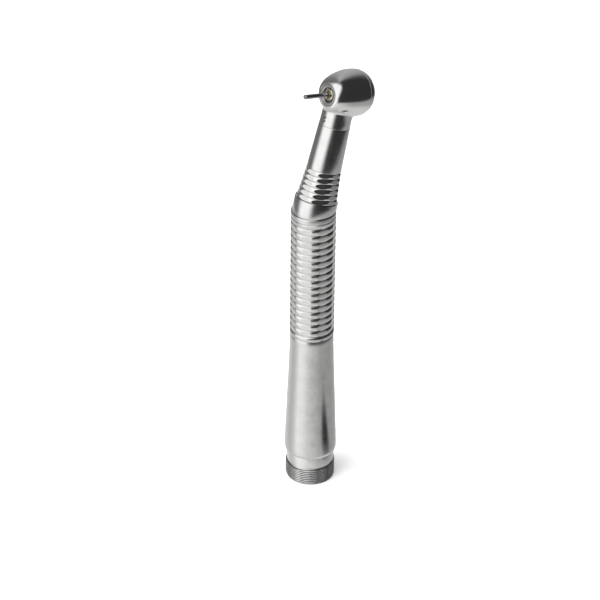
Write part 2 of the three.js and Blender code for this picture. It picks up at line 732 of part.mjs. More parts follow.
function chuckScrew() {
  const body = solid(turned([
    [0, CHUCK_SCREW.back],
    [COLLET.outer, CHUCK_SCREW.back],
    [COLLET.outer, CHUCK_SCREW.front],
    [0, CHUCK_SCREW.front],
  ]));
  const start = [0, 0, CHUCK_SCREW.back - 1];
  const end = [0, 0, CHUCK_SCREW.back + CHUCK_SCREW.socketDepth];
  return body.subtract(solid(bar(start, end, CHUCK_SCREW.socket, 6)));
}

function bur() {
  return turned([
    [0, BUR.back],
    [BUR.shank, BUR.back],
    [BUR.shank, BUR.shankEnd - BUR.neckDown[0]],
    [BUR.pin, BUR.shankEnd + BUR.neckDown[1]],
    [BUR.pin, BUR.tip - BUR.chamfer],
    [BUR.pin - BUR.chamfer, BUR.tip],
    [0, BUR.tip],
  ], 16);
}

addPart(head, "rotor_spindle", spindle(), bearingSteel());
addPart(head, "impeller", impeller(), anodised());
addPart(head, "chuck_collet", collet(), colletBrass());
addPart(head, "chuck_screw", chuckScrew(), bearingSteel());
addPart(head, "bur", bur(), burSteel());

export default object;
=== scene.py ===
# Looks of a dental air-turbine handpiece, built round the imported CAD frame. Blender 4.5, metres.
# Outlines are written in millimetres in three local frames: the straight handle, counted up from
# the rim of its thread; the neck, counted from the bend; and the head, counted along the bur.
import json
from math import acos, atan2, cos, pi, radians, sin, tan

import bmesh
import bpy
import numpy as np
from mathutils import Matrix, Vector


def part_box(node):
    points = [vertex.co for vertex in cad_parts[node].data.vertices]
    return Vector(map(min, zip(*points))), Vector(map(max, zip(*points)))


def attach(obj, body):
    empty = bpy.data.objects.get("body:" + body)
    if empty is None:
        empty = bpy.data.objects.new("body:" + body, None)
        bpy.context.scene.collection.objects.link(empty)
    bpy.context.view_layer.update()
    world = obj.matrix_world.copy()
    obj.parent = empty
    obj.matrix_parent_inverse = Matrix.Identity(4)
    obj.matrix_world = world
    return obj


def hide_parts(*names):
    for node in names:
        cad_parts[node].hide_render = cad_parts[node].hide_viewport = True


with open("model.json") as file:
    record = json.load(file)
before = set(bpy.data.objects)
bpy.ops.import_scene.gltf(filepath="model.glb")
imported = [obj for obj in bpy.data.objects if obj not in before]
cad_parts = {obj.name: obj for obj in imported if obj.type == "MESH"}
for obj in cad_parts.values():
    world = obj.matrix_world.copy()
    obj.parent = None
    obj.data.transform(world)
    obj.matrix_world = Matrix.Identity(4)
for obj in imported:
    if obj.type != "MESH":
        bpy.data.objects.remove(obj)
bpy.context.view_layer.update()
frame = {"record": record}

MM = 0.001


class Dims(dict):
    """Named dimensions, read as attributes, or by key where the key varies."""

    __getattr__ = dict.__getitem__


# ---------------- driving dimensions (mm)

SIDES = 192                        # sides of the large turned surfaces
FINE = 96                          # sides of the small ones
SLIP = 0.04                        # between pieces that fit into each other
SEAM = 0.03                        # between faces that meet

SEAT_HEIGHT = 4.5
SOCKET_RADIUS = 5.1
BLOCK_TOP = 10.5
THREAD = Dims(crest=6.35, root=5.93, pitch=0.56, start=0.2, end=4.62, steps=14)
THREAD_FLATS = Dims(crest=1.25, root=0.12)         # how far the wave is cut off at both ends
THREAD_FADE = Dims(lead=0.35, rise=0.5, fall=0.3)
RIM = [(5.72, 0), (5.8, 0.02), (5.88, 0.1)]
SOCKET_MOUTH = Dims(width=0.3, depth=0.32)
COLLAR = Dims(radius=6.08, bottom=4.95, top=8.2, relief=5.8)
SPIGOT = Dims(radius=5.35, bore=4.75, top=16)
HOLE_CIRCLE = 2.7
DRIVE = Dims(hole=1.0, tube=1.25, bore=0.95, angle=135)
EXHAUST = Dims(hole=1.65, angle=45)
SPRAY = Dims(hole=0.7, tube=0.8, bore=0.55, air=-45, water=-135)
TUBE_SOCKET = 2
NECK_LANES = Dims(drive=(-1.45, 0.7), exhaust=(1.45, 0.7), air=(1, -1.75), water=(-1, -1.75))

LANE = Dims(low=22, rise=30, sides=24, steps=40)   # where the tubes cross over, and their mesh

# FOOT and TAPER are (radius, height); a third number is a fillet.
SLEEVE = Dims(bottom=8.25, top=79.7, bore=4.7)
FOOT = [(6.48, 8.25, 0.1), (6.66, 8.9, 1.5)]
TAPER = [(6.7, 9.8), (6.59, 13), (6.35, 19.4), (6.12, 25.7), (5.86, 31.9), (5.66, 38.1), (5.55, 42.5)]
GRIP = Dims(
    crest=5.63, end=44.07, first=45.41, pitch=1.858, ribs=17, depth=0.25, power=2.9, flat=5.46, crown=0.08,
)
GRIP_STEP = [(5.53, -0.22), (5.5, -0.12), (5.5, 0), (5.58, 0.06)]   # heights from the grip's end
GRIP_LAND = 0.08                                   # how far the ends of the ribbed part drop
TOP_LINE = Dims(depth=0.12, heights=(78.1, 78.2, 78.36, 78.46))
GRIP_FLATS = Dims(count=8, turn=-12)
BEND = Dims(height=79.2, half=1.5)
NECK_SPIGOT = Dims(radius=4.41, bottom=70)
NECK_FOOT = 5.42                   # the neck's radius where it leaves the sleeve
NECK_BORE = Dims(low=3.6, high=3.1, bends=(2.2, 2.4, 3.5), narrows=(12, 17))
BAND = Dims(bottom=3.35, top=11.5, ribs=6, low=5.22, high=4.42, depth=0.3, bore=4.02)
BAND_FLATS = Dims(count=8, turn=5.5, cut=0.949)
NECK_TOP = Dims(low=4.3, waist=4.18, waist_at=14.5, high=3.86, top=22.85)

NOSE = Dims(height=4.8, radius=2.9, hole=1.8, wall=0.7, ring=2.62)
BELL = Dims(radius=5.85, height=-2.8)
BACK = Dims(height=-7.1, flat=3.2, hole=1.4)
NOSE_SHOULDER = (4.6, 4.5)
BACK_SHOULDER = (5, -7)
BACK_SIDE = -5.2
CAP_JOINT = 0.22                   # the share of the back curve that belongs to the housing
CAP_LIP = 5.77
STEM = Dims(spigot=3.05, bottom=18.5, low=3.86, high=3.78, top=24.3, fillet=0.45)
STEM_LANES = Dims(exhaust=27.6, exhaust_radius=1.2, drive=27.2, slip=0.1)
CHAMBER = Dims(radius=4.45, front=1.45, back=-2.7)
CAP_THREAD = Dims(bore=4.95, plug=4.88)
CAP_SEAL = Dims(radius=5.14, tube=0.16, pocket=5.36, depth=0.4)
CAP_SLOT = Dims(width=1.7, floor=4.35, top=-5.9, count=4)
SPRAY_TIP = Dims(
    radius=0.33, bore=0.17, rise=35, length=1.6, water=24.1, air=25.05, recess=0.15, duct=0.25,
)

BEARING = Dims(outer=3.13, inner=1.62, width=2.38, front=2.74, rear=-3.81, seat=3.2)
# The races' facing sides, and how deep the ball grooves go into them.
OUTER_LAND = Dims(radius=2.8, groove=0.13)
INNER_LAND = Dims(radius=2, groove=-0.14)
GROOVE_HALF = 0.43
BALL = Dims(radius=0.46, circle=2.395, count=7, first=0.3)
CAGE = Dims(inner=2.27, outer=2.49, half=0.6)
CUSHION = Dims(radius=3.45, tube=0.27, pocket=3.78, half=0.4)
SPINDLE = Dims(radius=1.58, bore=1.15, flange=1.98, front=4.5, back=-5.2)
IMPELLER = Dims(hub=2.6, radius=4.3, front=1.1, back=-2.2, blades=12, bore=2.02)
# The edge of a blade, as shares of the impeller's radius and of the pitch.
BLADE = [(0.72, 0.02), (0.86, 0.12), (1, 0.32), (1, 0.46), (0.9, 0.4), (0.76, 0.38), (0.66, 0.45)]
BLADE_FOOT = 0.62
COLLET = Dims(outer=1.1, inner=0.84, front=4.35, back=-3.2, slits=3, slit=0.25, end=-1)
SCREW = Dims(front=-3.42, back=-5.05, socket=0.6, depth=0.7)
BUR = Dims(shank=0.8, step=5.6, back=-3, pin=0.57, tip=12.15, chamfer=0.12)
WASHER = Dims(inner=2.2, outer=3.1, thick=0.15, wave=0.12, waves=3, height=-5.24)

# ---------------- frames

RIM_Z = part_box("rear_connector")[0][2]
JOINTS = {joint["name"]: joint for joint in frame["record"]["behaviour"]["joints"]}
TURBINE = JOINTS["turbine_spin"]
HEAD_AT = Vector(TURBINE["pos_m"])
BUR_WAY = Vector(TURBINE["axis"])
BEND_AT = Vector((0, 0, RIM_Z + BEND.height * MM))
NECK_WAY = (HEAD_AT - BEND_AT).normalized()
BEND_ANGLE = atan2(NECK_WAY.y, NECK_WAY.z)
HEAD_ON_NECK = (HEAD_AT - BEND_AT).length / MM


def frame_along(origin, way):
    """A local frame in mm at origin, with +Z along way and +X kept."""
    across = Vector((1, 0, 0))
    up = way.cross(across)
    axes = Matrix((across, up, way)).transposed().to_4x4()
    return Matrix.Translation(origin) @ axes @ Matrix.Scale(MM, 4)


HANDLE_FRAME = frame_along(Vector((0, 0, RIM_Z)), Vector((0, 0, 1)))
NECK_FRAME = frame_along(BEND_AT, NECK_WAY)
HEAD_FRAME = frame_along(HEAD_AT, BUR_WAY)
NECK_TO_HEAD = HEAD_FRAME.inverted() @ NECK_FRAME

# ---------------- mesh tools


def mesh_object(name, vertices, faces, place=Matrix.Scale(MM, 4), sharp=30):
    """An object from points in a local mm frame, with faces turned outward and welded."""
    mesh = bpy.data.meshes.new(name)
    mesh.from_pydata([tuple(place @ Vector(v)) for v in vertices], [], faces)
    work = bmesh.new()
    work.from_mesh(mesh)
    bmesh.ops.remove_doubles(work, verts=work.verts, dist=2e-7)
    loose = [edge for edge in work.edges if not edge.link_faces]
    bmesh.ops.delete(work, geom=loose, context="EDGES")
    bmesh.ops.recalc_face_normals(work, faces=work.faces)
    work.to_mesh(mesh)
    work.free()
    thing = bpy.data.objects.new(name, mesh)
    bpy.context.scene.collection.objects.link(thing)
    shade(thing, sharp)
    return thing


def shade(thing, sharp=30):
    thing.data.shade_smooth()
    thing.data.set_sharp_from_angle(angle=radians(sharp))


def rounded(points, segments=5):
    """Rounds the corners of a closed outline: each point is (radius, height) or has a fillet third."""
    result = []
    count = len(points)
    for i, point in enumerate(points):
        here = np.array(point[:2], float)
        fillet = point[2] if len(point) > 2 else 0
        if not fillet:
            result.append(tuple(here))
            continue
        before = np.array(points[i - 1][:2], float) - here
        after = np.array(points[(i + 1) % count][:2], float) - here
        before /= np.linalg.norm(before)
        after /= np.linalg.norm(after)
        half = acos(np.clip(before @ after, -1, 1)) / 2
        reach = fillet / tan(half)
        middle = before + after
        centre = here + middle / np.linalg.norm(middle) * fillet / sin(half)
        start = here + before * reach - centre
        end = here + after * reach - centre
        sweep = atan2(start[0] * end[1] - start[1] * end[0], start @ end)
        for k in range(segments + 1):
            turn = sweep * k / segments
            spun = np.array([
                start[0] * cos(turn) - start[1] * sin(turn),
                start[0] * sin(turn) + start[1] * cos(turn),
            ])
            result.append(tuple(centre + spun))
    return result


def round_angles(sides):
    return np.arange(sides) * 2 * pi / sides


def loft(count, sides):
    """Faces of a closed surface through this many rings of this many points."""
    faces = []
    for i in range(count):
        low, high = i * sides, ((i + 1) % count) * sides
        for k in range(sides):
            after = (k + 1) % sides
            faces.append((low + k, low + after, high + after, high + k))
    return faces


def ring_mesh(name, rings, sides=FINE, place=HANDLE_FRAME, bend=None, sharp=30):
    """Joins rings into one closed surface. A ring is (radius, height), each a number or an array."""
    angles = round_angles(sides)
    layers = []
    for radius, height in rings:
        reach = np.broadcast_to(radius, sides)
        level = np.broadcast_to(height, sides)
        layers.append(np.stack([reach * np.cos(angles), reach * np.sin(angles), level], 1))
    points = np.concatenate(layers)
    if bend:
        points = bend(points)
    return mesh_object(name, points.tolist(), loft(len(rings), sides), place, sharp)


def turned(name, outline, sides=FINE, place=HEAD_FRAME, bend=None):
    return ring_mesh(name, rounded(outline), sides, place, bend)


def bar(start, end, radius, place, sides=32):
    """A round cutter between two points of a local frame."""
    start, end = Vector(start), Vector(end)
    way = (end - start).normalized()
    side = way.orthogonal().normalized()
    other = way.cross(side)
    points = []
    for origin in (start, end):
        for k in range(sides):
            angle = 2 * pi * k / sides
            points.append(origin + radius * (side * cos(angle) + other * sin(angle)))
    faces = [tuple(range(sides)), tuple(range(sides, 2 * sides))]
    for k in range(sides):
        after = (k + 1) % sides
        faces.append((k, after, sides + after, sides + k))
    return mesh_object("cutter", points, faces, place)


def block(low, high, turn, place):
    """A box cutter from low to high, turned about the local Z axis."""
    spin = Matrix.Rotation(turn, 4, "Z")
    (x0, y0, z0), (x1, y1, z1) = low, high
    points = [spin @ Vector((x, y, z)) for x in (x0, x1) for y in (y0, y1) for z in (z0, z1)]
    faces = [(0, 1, 3, 2), (4, 6, 7, 5), (0, 4, 5, 1), (2, 3, 7, 6), (0, 2, 6, 4), (1, 5, 7, 3)]
    return mesh_object("cutter", points, faces, place)


def cut(target, tools, sharp=30, operation="DIFFERENCE"):
    """Applies booleans with the tools in turn, then removes the tools."""
    for tool in tools:
        modifier = target.modifiers.new("cut", "BOOLEAN")
        modifier.operation = operation
        modifier.solver = "MANIFOLD"
        modifier.object = tool
    settle(target)
    for tool in tools:
        bpy.data.objects.remove(tool, do_unlink=True)
    shade(target, sharp)
    return target


def settle(thing):
    """Replaces an object's mesh by the result of its modifiers."""
    graph = bpy.context.evaluated_depsgraph_get()
    mesh = bpy.data.meshes.new_from_object(thing.evaluated_get(graph))
    thing.modifiers.clear()
    thing.data = mesh


def soften(thing, width, angle=40, segments=2):
    """A small bevel on the sharp edges, made part of the mesh."""
    modifier = thing.modifiers.new("edge", "BEVEL")
    modifier.width = width * MM
    modifier.segments = segments
    modifier.limit_method = "ANGLE"
    modifier.angle_limit = radians(angle)
    modifier.use_clamp_overlap = True
    settle(thing)
    shade(thing)
    return thing


def flat_cut(radius, sides, flats, distance):
    """A round section of this radius with flats cut into it at this distance from the axis."""
    pitch = 2 * pi / flats.count
    angles = round_angles(sides) - radians(flats.turn)
    off = (angles + pitch / 2) % pitch - pitch / 2
    return np.minimum(radius, distance / np.cos(off))


def on_circle(radius, degrees, height):
    angle = radians(degrees)
    return (radius * cos(angle), radius * sin(angle), height)


def bezier(points, start, end, count):
    """Points of a cubic curve in (radius, height) between two of its parameters."""
    a, b, c, d = [np.array(p, float) for p in points]
    result = []
    for t in np.linspace(start, end, count):
        s = 1 - t
        result.append(tuple(s**3 * a + 3 * s * s * t * b + 3 * s * t * t * c + t**3 * d))
    return result


def curve_point(points, at):
    return bezier(points, at, at, 1)[0]

# ---------------- the bend

BEND_RADIUS = BEND.half / tan(BEND_ANGLE / 2)
BEND_START = BEND.height - BEND.half
BEND_ARC = BEND_RADIUS * BEND_ANGLE


def bent(points):
    """Carries points of a straight handle onto the bent one."""
    points = np.array(points, float)
    past = points[:, 2] - BEND_START
    angle = np.clip(past / BEND_RADIUS, 0, BEND_ANGLE)
    straight = np.maximum(past - BEND_ARC, 0)
    reach = BEND_RADIUS - points[:, 1]
    y = BEND_RADIUS - reach * np.cos(angle) + straight * np.sin(angle)
    z = BEND_START + reach * np.sin(angle) + straight * np.cos(angle)
    below = past <= 0
    moved = np.stack([points[:, 0], y, z], 1)
    return np.where(below[:, None], points, moved)


def unbent(along):
    """The straight handle's height of a place this far along the neck."""
    return along + BEND.height + BEND_ARC - 2 * BEND.half


def trimmed_height(radius, level, reach=4.0, halvings=40):
    """For each side, the straight height at which the bent surface crosses a level."""
    angles = round_angles(SIDES)
    low = np.full(SIDES, level - reach)
    high = np.full(SIDES, level + reach)
    for _ in range(halvings):
        middle = (low + high) / 2
        points = np.stack([radius * np.cos(angles), radius * np.sin(angles), middle], 1)
        under = bent(points)[:, 2] < level
        low = np.where(under, middle, low)
        high = np.where(under, high, middle)
    return (low + high) / 2

# ---------------- rear end


def thread_radius(height):
    """The radius round a right-hand thread at one height, faded out at both ends."""
    turns = np.arange(SIDES) / SIDES
    phase = (height / THREAD.pitch - turns) % 1
    wave = np.clip(THREAD_FLATS.crest * (1 - np.abs(2 * phase - 1)), 0, 1)
    wave = np.clip((wave - THREAD_FLATS.root) / (1 - THREAD_FLATS.root), 0, 1)
    rise = min(1, max(0, (height - THREAD.start + THREAD_FADE.lead) / THREAD_FADE.rise))
    fall = min(1, max(0, (THREAD.end - height) / THREAD_FADE.fall))
    depth = THREAD.crest - THREAD.root
    return THREAD.root + depth * wave * min(rise, fall)


def rear_connector():
    levels = np.arange(THREAD.start, THREAD.end, THREAD.pitch / THREAD.steps)
    rings = RIM + [(thread_radius(level), level) for level in levels]
    rings += rounded([
        (COLLAR.relief, THREAD.end + 0.05, 0.06),
        (COLLAR.relief, COLLAR.bottom - 0.02, 0.08),
        (COLLAR.radius, COLLAR.bottom + 0.03, 0.12),
        (COLLAR.radius, COLLAR.top, 0.06),
        (SPIGOT.radius, COLLAR.top, 0.05),
        (SPIGOT.radius, SPIGOT.top, 0.1),
        (SPIGOT.bore, SPIGOT.top),
        (SPIGOT.bore, BLOCK_TOP + SLIP),
        (SOCKET_RADIUS, BLOCK_TOP + SLIP),
        (SOCKET_RADIUS, SOCKET_MOUTH.depth, 0.08),
        (SOCKET_RADIUS + SOCKET_MOUTH.width, 0, 0.05),
    ])
    return ring_mesh("rear_connector_turned", rings, SIDES, sharp=45)


def connector_block():
    body = turned("connector_block_drilled", [
        (0, SEAT_HEIGHT),
        (SOCKET_RADIUS - SLIP, SEAT_HEIGHT, 0.12),
        (SOCKET_RADIUS - SLIP, BLOCK_TOP, 0.1),
        (0, BLOCK_TOP),
    ], SIDES, HANDLE_FRAME)
    cutters = []

    def drill(angle, radius, low, high=BLOCK_TOP + 1):
        start = on_circle(HOLE_CIRCLE, angle, low)
        end = on_circle(HOLE_CIRCLE, angle, high)
        cutters.append(bar(start, end, radius, HANDLE_FRAME))

    through = SEAT_HEIGHT - 1
    socket = BLOCK_TOP - TUBE_SOCKET
    drill(EXHAUST.angle, EXHAUST.hole, through)
    drill(DRIVE.angle, DRIVE.hole, through)
    drill(DRIVE.angle, DRIVE.tube + SLIP, socket)
    for side in ("air", "water"):
        drill(SPRAY[side], SPRAY.hole, through)
        drill(SPRAY[side], SPRAY.tube + SLIP, socket)
    cut(body, cutters)
    return soften(body, 0.06)

# ---------------- grip sleeve


def rib_rings(heights, pitch, crest_at, depth, power, flats, flat_at, crown=0.0, steps=12):
    """Rings of a row of rounded ribs, with slightly crowned flats cut into their crests."""
    rings = []
    for middle in heights:
        for k in range(steps):
            across = 2 * k / steps - 1
            height = middle + across * pitch / 2
            radius = crest_at(height) - depth * abs(across) ** power
            section = flat_cut(radius, SIDES, flats, flat_at(height) - crown * across * across)
            rings.append((section, height))
    return rings


def grip_sleeve():
    crest, first, pitch = GRIP.crest, GRIP.first, GRIP.pitch
    middles = [first + pitch * (i + 0.5) for i in range(GRIP.ribs)]
    last = first + pitch * GRIP.ribs
    spigot_bore = NECK_SPIGOT.radius + SLIP
    mouth = spigot_bore + 0.5
    inside = (SPIGOT.radius + SLIP, SLEEVE.bottom)
    rings = rounded([inside, *FOOT, TAPER[0]])[1:] + TAPER[1:]
    rings += [(radius, GRIP.end + rise) for radius, rise in GRIP_STEP]
    rings += [(crest, GRIP.end + 0.16), (crest, first - 0.42), (crest - GRIP_LAND, first - 0.2)]
    rings += rib_rings(
        middles, pitch, lambda height: crest, GRIP.depth, GRIP.power,
        GRIP_FLATS, lambda height: GRIP.flat, GRIP.crown,
    )
    rings += [(crest - GRIP.depth, last), (crest - GRIP_LAND, last + 0.2), (crest, last + 0.4)]
    line_low, floor_low, floor_high, line_high = TOP_LINE.heights
    line_floor = crest - TOP_LINE.depth
    rings += [(crest, line_low), (line_floor, floor_low), (line_floor, floor_high), (crest, line_high)]
    rings += rounded([
        (crest, line_high + 0.04),
        (crest, SLEEVE.top, 0.18),
        (mouth, SLEEVE.top, 0.05),
        (mouth, BEND_START - 0.1),
        (spigot_bore, BEND_START - 0.1),
        (spigot_bore, NECK_SPIGOT.bottom),
        (SLEEVE.bore, NECK_SPIGOT.bottom),
        (SLEEVE.bore, SPIGOT.top + 0.3),
        (SPIGOT.radius + SLIP, SPIGOT.top + 0.3),
        (SPIGOT.radius + SLIP, SLEEVE.bottom),
    ])
    return ring_mesh("grip_sleeve_ribbed", rings, SIDES, sharp=50)

# ---------------- neck


def neck_tube():
    level = SLEEVE.top + SEAM
    base = trimmed_height(NECK_FOOT, level)
    rings = [(NECK_FOOT - 0.12, base), (NECK_FOOT - 0.03, base + 0.04), (NECK_FOOT, base + 0.14)]
    first = float(base.max()) + 0.3
    rings += [(NECK_FOOT - 0.02 * i, first + i * 0.25) for i in range(5)]
    bore, bends, narrows = NECK_BORE.low, NECK_BORE.bends, NECK_BORE.narrows
    rings += rounded([
        (5.33, unbent(1.3)),
        (5.22, unbent(BAND.bottom - SEAM), 0.06),
        (BAND.bore - SLIP, unbent(BAND.bottom - SEAM)),
        (BAND.bore - SLIP, unbent(BAND.top + SEAM)),
        (NECK_TOP.low, unbent(BAND.top + SEAM), 0.1),
        (NECK_TOP.waist, unbent(NECK_TOP.waist_at), 4),
        (NECK_TOP.high, unbent(NECK_TOP.top), 0.06),
        (NECK_BORE.high, unbent(NECK_TOP.top)),
        (NECK_BORE.high, unbent(narrows[1])),
        (bore, unbent(narrows[0])),
        (bore, unbent(bends[2])),
        (bore, unbent(bends[1])),
    ])
    rings += [(bore, height) for height in np.linspace(unbent(bends[0]), BEND_START, 10)]
    spigot, bottom = NECK_SPIGOT.radius, NECK_SPIGOT.bottom + SLIP
    rings += [(bore, bottom), (spigot, bottom)]
    rings += [(spigot, height) for height in np.linspace(BEND_START, level - 0.25, 8)]
    rings += [(spigot, trimmed_height(spigot, level))]
    return ring_mesh("neck_tube_bent", rings, SIDES, bend=bent)


def polished_band():
    pitch = (BAND.top - BAND.bottom) / BAND.ribs

    def crest(height):
        share = (height - BAND.bottom) / (BAND.top - BAND.bottom)
        return BAND.low + share * (BAND.high - BAND.low)

    middles = [BAND.bottom + pitch * (i + 0.5) for i in range(BAND.ribs)]
    rings = rib_rings(
        middles, pitch, crest, BAND.depth, 2,
        BAND_FLATS, lambda height: crest(height) * BAND_FLATS.cut, steps=16,
    )
    rings += [(crest(BAND.top) - BAND.depth, BAND.top)]
    rings += [(BAND.bore, BAND.top), (BAND.bore, BAND.bottom)]
    return ring_mesh("polished_band_faceted", rings, SIDES, NECK_FRAME, sharp=50)

# ---------------- head

WIDEST = (BELL.radius, BELL.height)
NOSE_CURVE = [(NOSE.radius, NOSE.height), NOSE_SHOULDER, (BELL.radius, 0), WIDEST]
BACK_CURVE = [WIDEST, (BELL.radius, BACK_SIDE), BACK_SHOULDER, (BACK.flat, BACK.height)]
CAP_FACE = curve_point(BACK_CURVE, CAP_JOINT)[1]


def spray_line(height):
    """The line of a spray nozzle, from its mouth in the stem's front face; + is outward."""
    rise = radians(SPRAY_TIP.rise)
    mouth = Vector((0, -STEM.high, height))
    out = Vector((0, -cos(rise), sin(rise)))
    return lambda distance: mouth + out * distance


def bell_radius(height):
    """The bell's outside radius at a height along the bur."""
    curve = bezier(NOSE_CURVE, 0, 1, 60) + bezier(BACK_CURVE, 0, CAP_JOINT, 10)[1:]
    heights = [point[1] for point in curve][::-1]
    radii = [point[0] for point in curve][::-1]
    return np.interp(height, heights, radii)


def bell_meeting(radius, angles):
    """For each side of a stem this thick, how far along the neck it meets the bell."""
    levels = np.linspace(NECK_TOP.top + 1, HEAD_ON_NECK, 800)
    turn = np.array(NECK_TO_HEAD)
    meet = []
    for angle in angles:
        edge = (radius * cos(angle), radius * sin(angle))
        points = np.array([(*edge, level, 1) for level in levels]) @ turn.T
        inside = np.hypot(points[:, 0], points[:, 1]) < bell_radius(points[:, 2])
        meet.append(levels[np.argmax(inside)])
    return np.array(meet)


def stem_rings():
    """The stem, with a fillet where each side of it meets the bell."""
    angles = round_angles(SIDES)
    radius, fillet = STEM.high, STEM.fillet
    corner = bell_meeting(radius, angles)
    landing = bell_meeting(radius + fillet, angles)
    rings = [(0, STEM.bottom), (STEM.spigot, STEM.bottom)]
    rings += rounded([
        (STEM.spigot, NECK_TOP.top + SEAM),
        (STEM.low, NECK_TOP.top + SEAM, 0.06),
        (radius, STEM.top),
    ])
    for share in np.linspace(0, 1, 9):
        keep = 1 - share
        level = keep * keep * (corner - 1.3 * fillet) + 2 * keep * share * corner
        level = level + share * share * (landing + 0.1)
        rings.append((radius + share * share * fillet, level))
    rings += [(radius - 0.3, landing + 0.5), (0, HEAD_ON_NECK - 1.5)]
    return rings


def stem_cutters():
    """The passages in the stem and the seats of the two spray nozzles."""
    cutters = []
    below = STEM.bottom - 0.5

    def lane(side, low, high, radius):
        x, y = NECK_LANES[side]
        cutters.append(bar((x, y, low), (x, y, high), radius, NECK_FRAME))

    socket = STEM.bottom + TUBE_SOCKET
    lane("exhaust", below, STEM_LANES.exhaust, STEM_LANES.exhaust_radius)
    lane("drive", below, STEM_LANES.drive, DRIVE.bore)
    lane("drive", below, socket, DRIVE.tube + STEM_LANES.slip)
    for side in ("water", "air"):
        line = spray_line(SPRAY_TIP[side])
        x, y = NECK_LANES[side]
        seat = line(-SPRAY_TIP.length - 0.1)
        lane(side, below, socket, SPRAY.tube + STEM_LANES.slip)
        start, end = (x, y, socket - 0.2), line(0.2 - SPRAY_TIP.length)
        cutters.append(bar(start, end, SPRAY_TIP.duct, NECK_FRAME, 16))
        cutters.append(bar(seat, line(1), SPRAY_TIP.radius + SLIP, NECK_FRAME, 24))
    return cutters


def chamber_cutter():
    """Everything that is bored out of the head from the nose to the cap."""
    bore_end = NOSE.height - NOSE.wall
    front, half = BEARING.front, CUSHION.half
    ring_seat = NOSE.ring + 0.03
    return turned("cutter", [
        (0, NOSE.height + 1),
        (ring_seat + 0.95, NOSE.height + 1),
        (ring_seat, NOSE.height - 0.08, 0.08),
        (ring_seat, bore_end),
        (BEARING.seat, bore_end),
        (BEARING.seat, front + half),
        (CUSHION.pocket, front + half),
        (CUSHION.pocket, front - half),
        (BEARING.seat, front - half),
        (BEARING.seat, CHAMBER.front),
        (CHAMBER.radius, CHAMBER.front),
        (CHAMBER.radius, CHAMBER.back),
        (CAP_THREAD.bore, CHAMBER.back),
        (CAP_THREAD.bore, CAP_FACE + CAP_SEAL.depth),
        (CAP_SEAL.pocket, CAP_FACE + CAP_SEAL.depth),
        (CAP_SEAL.pocket, CAP_FACE - 1),
        (0, CAP_FACE - 1),
    ], SIDES)


def nose_ring():
    """The ring let into the nose round the bur."""
    inner, outer, face = NOSE.hole, NOSE.ring, NOSE.height
    return turned("nose_ring_turned", [
        (inner, face - NOSE.wall + 0.05, 0.05),
        (inner, face - 0.25, 0.1),
        (inner + 0.25, face, 0.12),
        (outer - 0.03, face, 0.08),
        (outer - 0.03, face - NOSE.wall + 0.05, 0.05),
    ], SIDES)


def head_housing():
    outline = rounded([
        (0, NOSE.height),
        (NOSE.radius - 0.05, NOSE.height, 0.12),
        (NOSE.radius + 0.3, NOSE.height - 0.15),
    ])[:-1]
    outline += bezier(NOSE_CURVE, 0.035, 1, 40) + bezier(BACK_CURVE, 0, CAP_JOINT, 8)[1:-1]
    outline += rounded([
        curve_point(BACK_CURVE, CAP_JOINT - 0.03),
        (*curve_point(BACK_CURVE, CAP_JOINT), 0.06),
        (0, CAP_FACE),
    ])
    body = ring_mesh("head_housing_bell", outline, SIDES, HEAD_FRAME)
    cut(body, [ring_mesh("stem", stem_rings(), SIDES, NECK_FRAME)], operation="UNION")
    cut(body, [chamber_cutter()])
    return cut(body, stem_cutters(), sharp=14)


def back_cap():
    seat_end = BEARING.rear - BEARING.width / 2 - 0.5
    rear = BEARING.rear
    half = CUSHION.half
    outline = rounded([
        (BEARING.seat, rear + half),
        (BEARING.seat, CHAMBER.back - SLIP),
        (CAP_THREAD.plug, CHAMBER.back - SLIP, 0.12),
        (CAP_THREAD.plug, CAP_FACE - SEAM, 0.05),
        (CAP_LIP, CAP_FACE - SEAM, 0.06),
        curve_point(BACK_CURVE, CAP_JOINT + 0.05),
    ])[:-1]
    outline += bezier(BACK_CURVE, CAP_JOINT + 0.04, 0.985, 24)
    outline += rounded([
        (BACK.flat + 0.1, BACK.height + 0.01),
        (BACK.flat - 0.1, BACK.height, 0.08),
        (BACK.hole + 0.25, BACK.height, 0.06),
        (BACK.hole, BACK.height + 0.25, 0.06),
        (BACK.hole, seat_end, 0.05),
        (BEARING.seat, seat_end),
        (BEARING.seat, rear - half),
        (CUSHION.pocket, rear - half),
        (CUSHION.pocket, rear + half),
        (BEARING.seat, rear + half),
    ])[1:-1]
    cap = ring_mesh("back_cap_turned", outline, SIDES, HEAD_FRAME)
    slots = []
    for i in range(CAP_SLOT.count):
        turn = 2 * pi * (i + 0.5) / CAP_SLOT.count
        low = (CAP_SLOT.floor, -CAP_SLOT.width / 2, CAP_SLOT.top - 4)
        high = (CAP_SLOT.floor + 4, CAP_SLOT.width / 2, CAP_SLOT.top)
        slots.append(block(low, high, turn, HEAD_FRAME))
    return cut(cap, slots)


def round_ring(name, radius, tube, height, sections=20):
    rings = []
    for k in range(sections):
        angle = 2 * pi * k / sections
        rings.append((radius + tube * cos(angle), height + tube * sin(angle)))
    return ring_mesh(name, rings, FINE, HEAD_FRAME, sharp=60)


def spray_nozzle(name, height):
    line = spray_line(height)
    tip = bar(line(-SPRAY_TIP.length), line(-SPRAY_TIP.recess), SPRAY_TIP.radius, NECK_FRAME)
    tip.name = name
    hole = bar(line(-SPRAY_TIP.length - 1), line(1), SPRAY_TIP.bore, NECK_FRAME, 24)
    cut(tip, [hole])
    return soften(tip, 0.03)

# ---------------- tubes


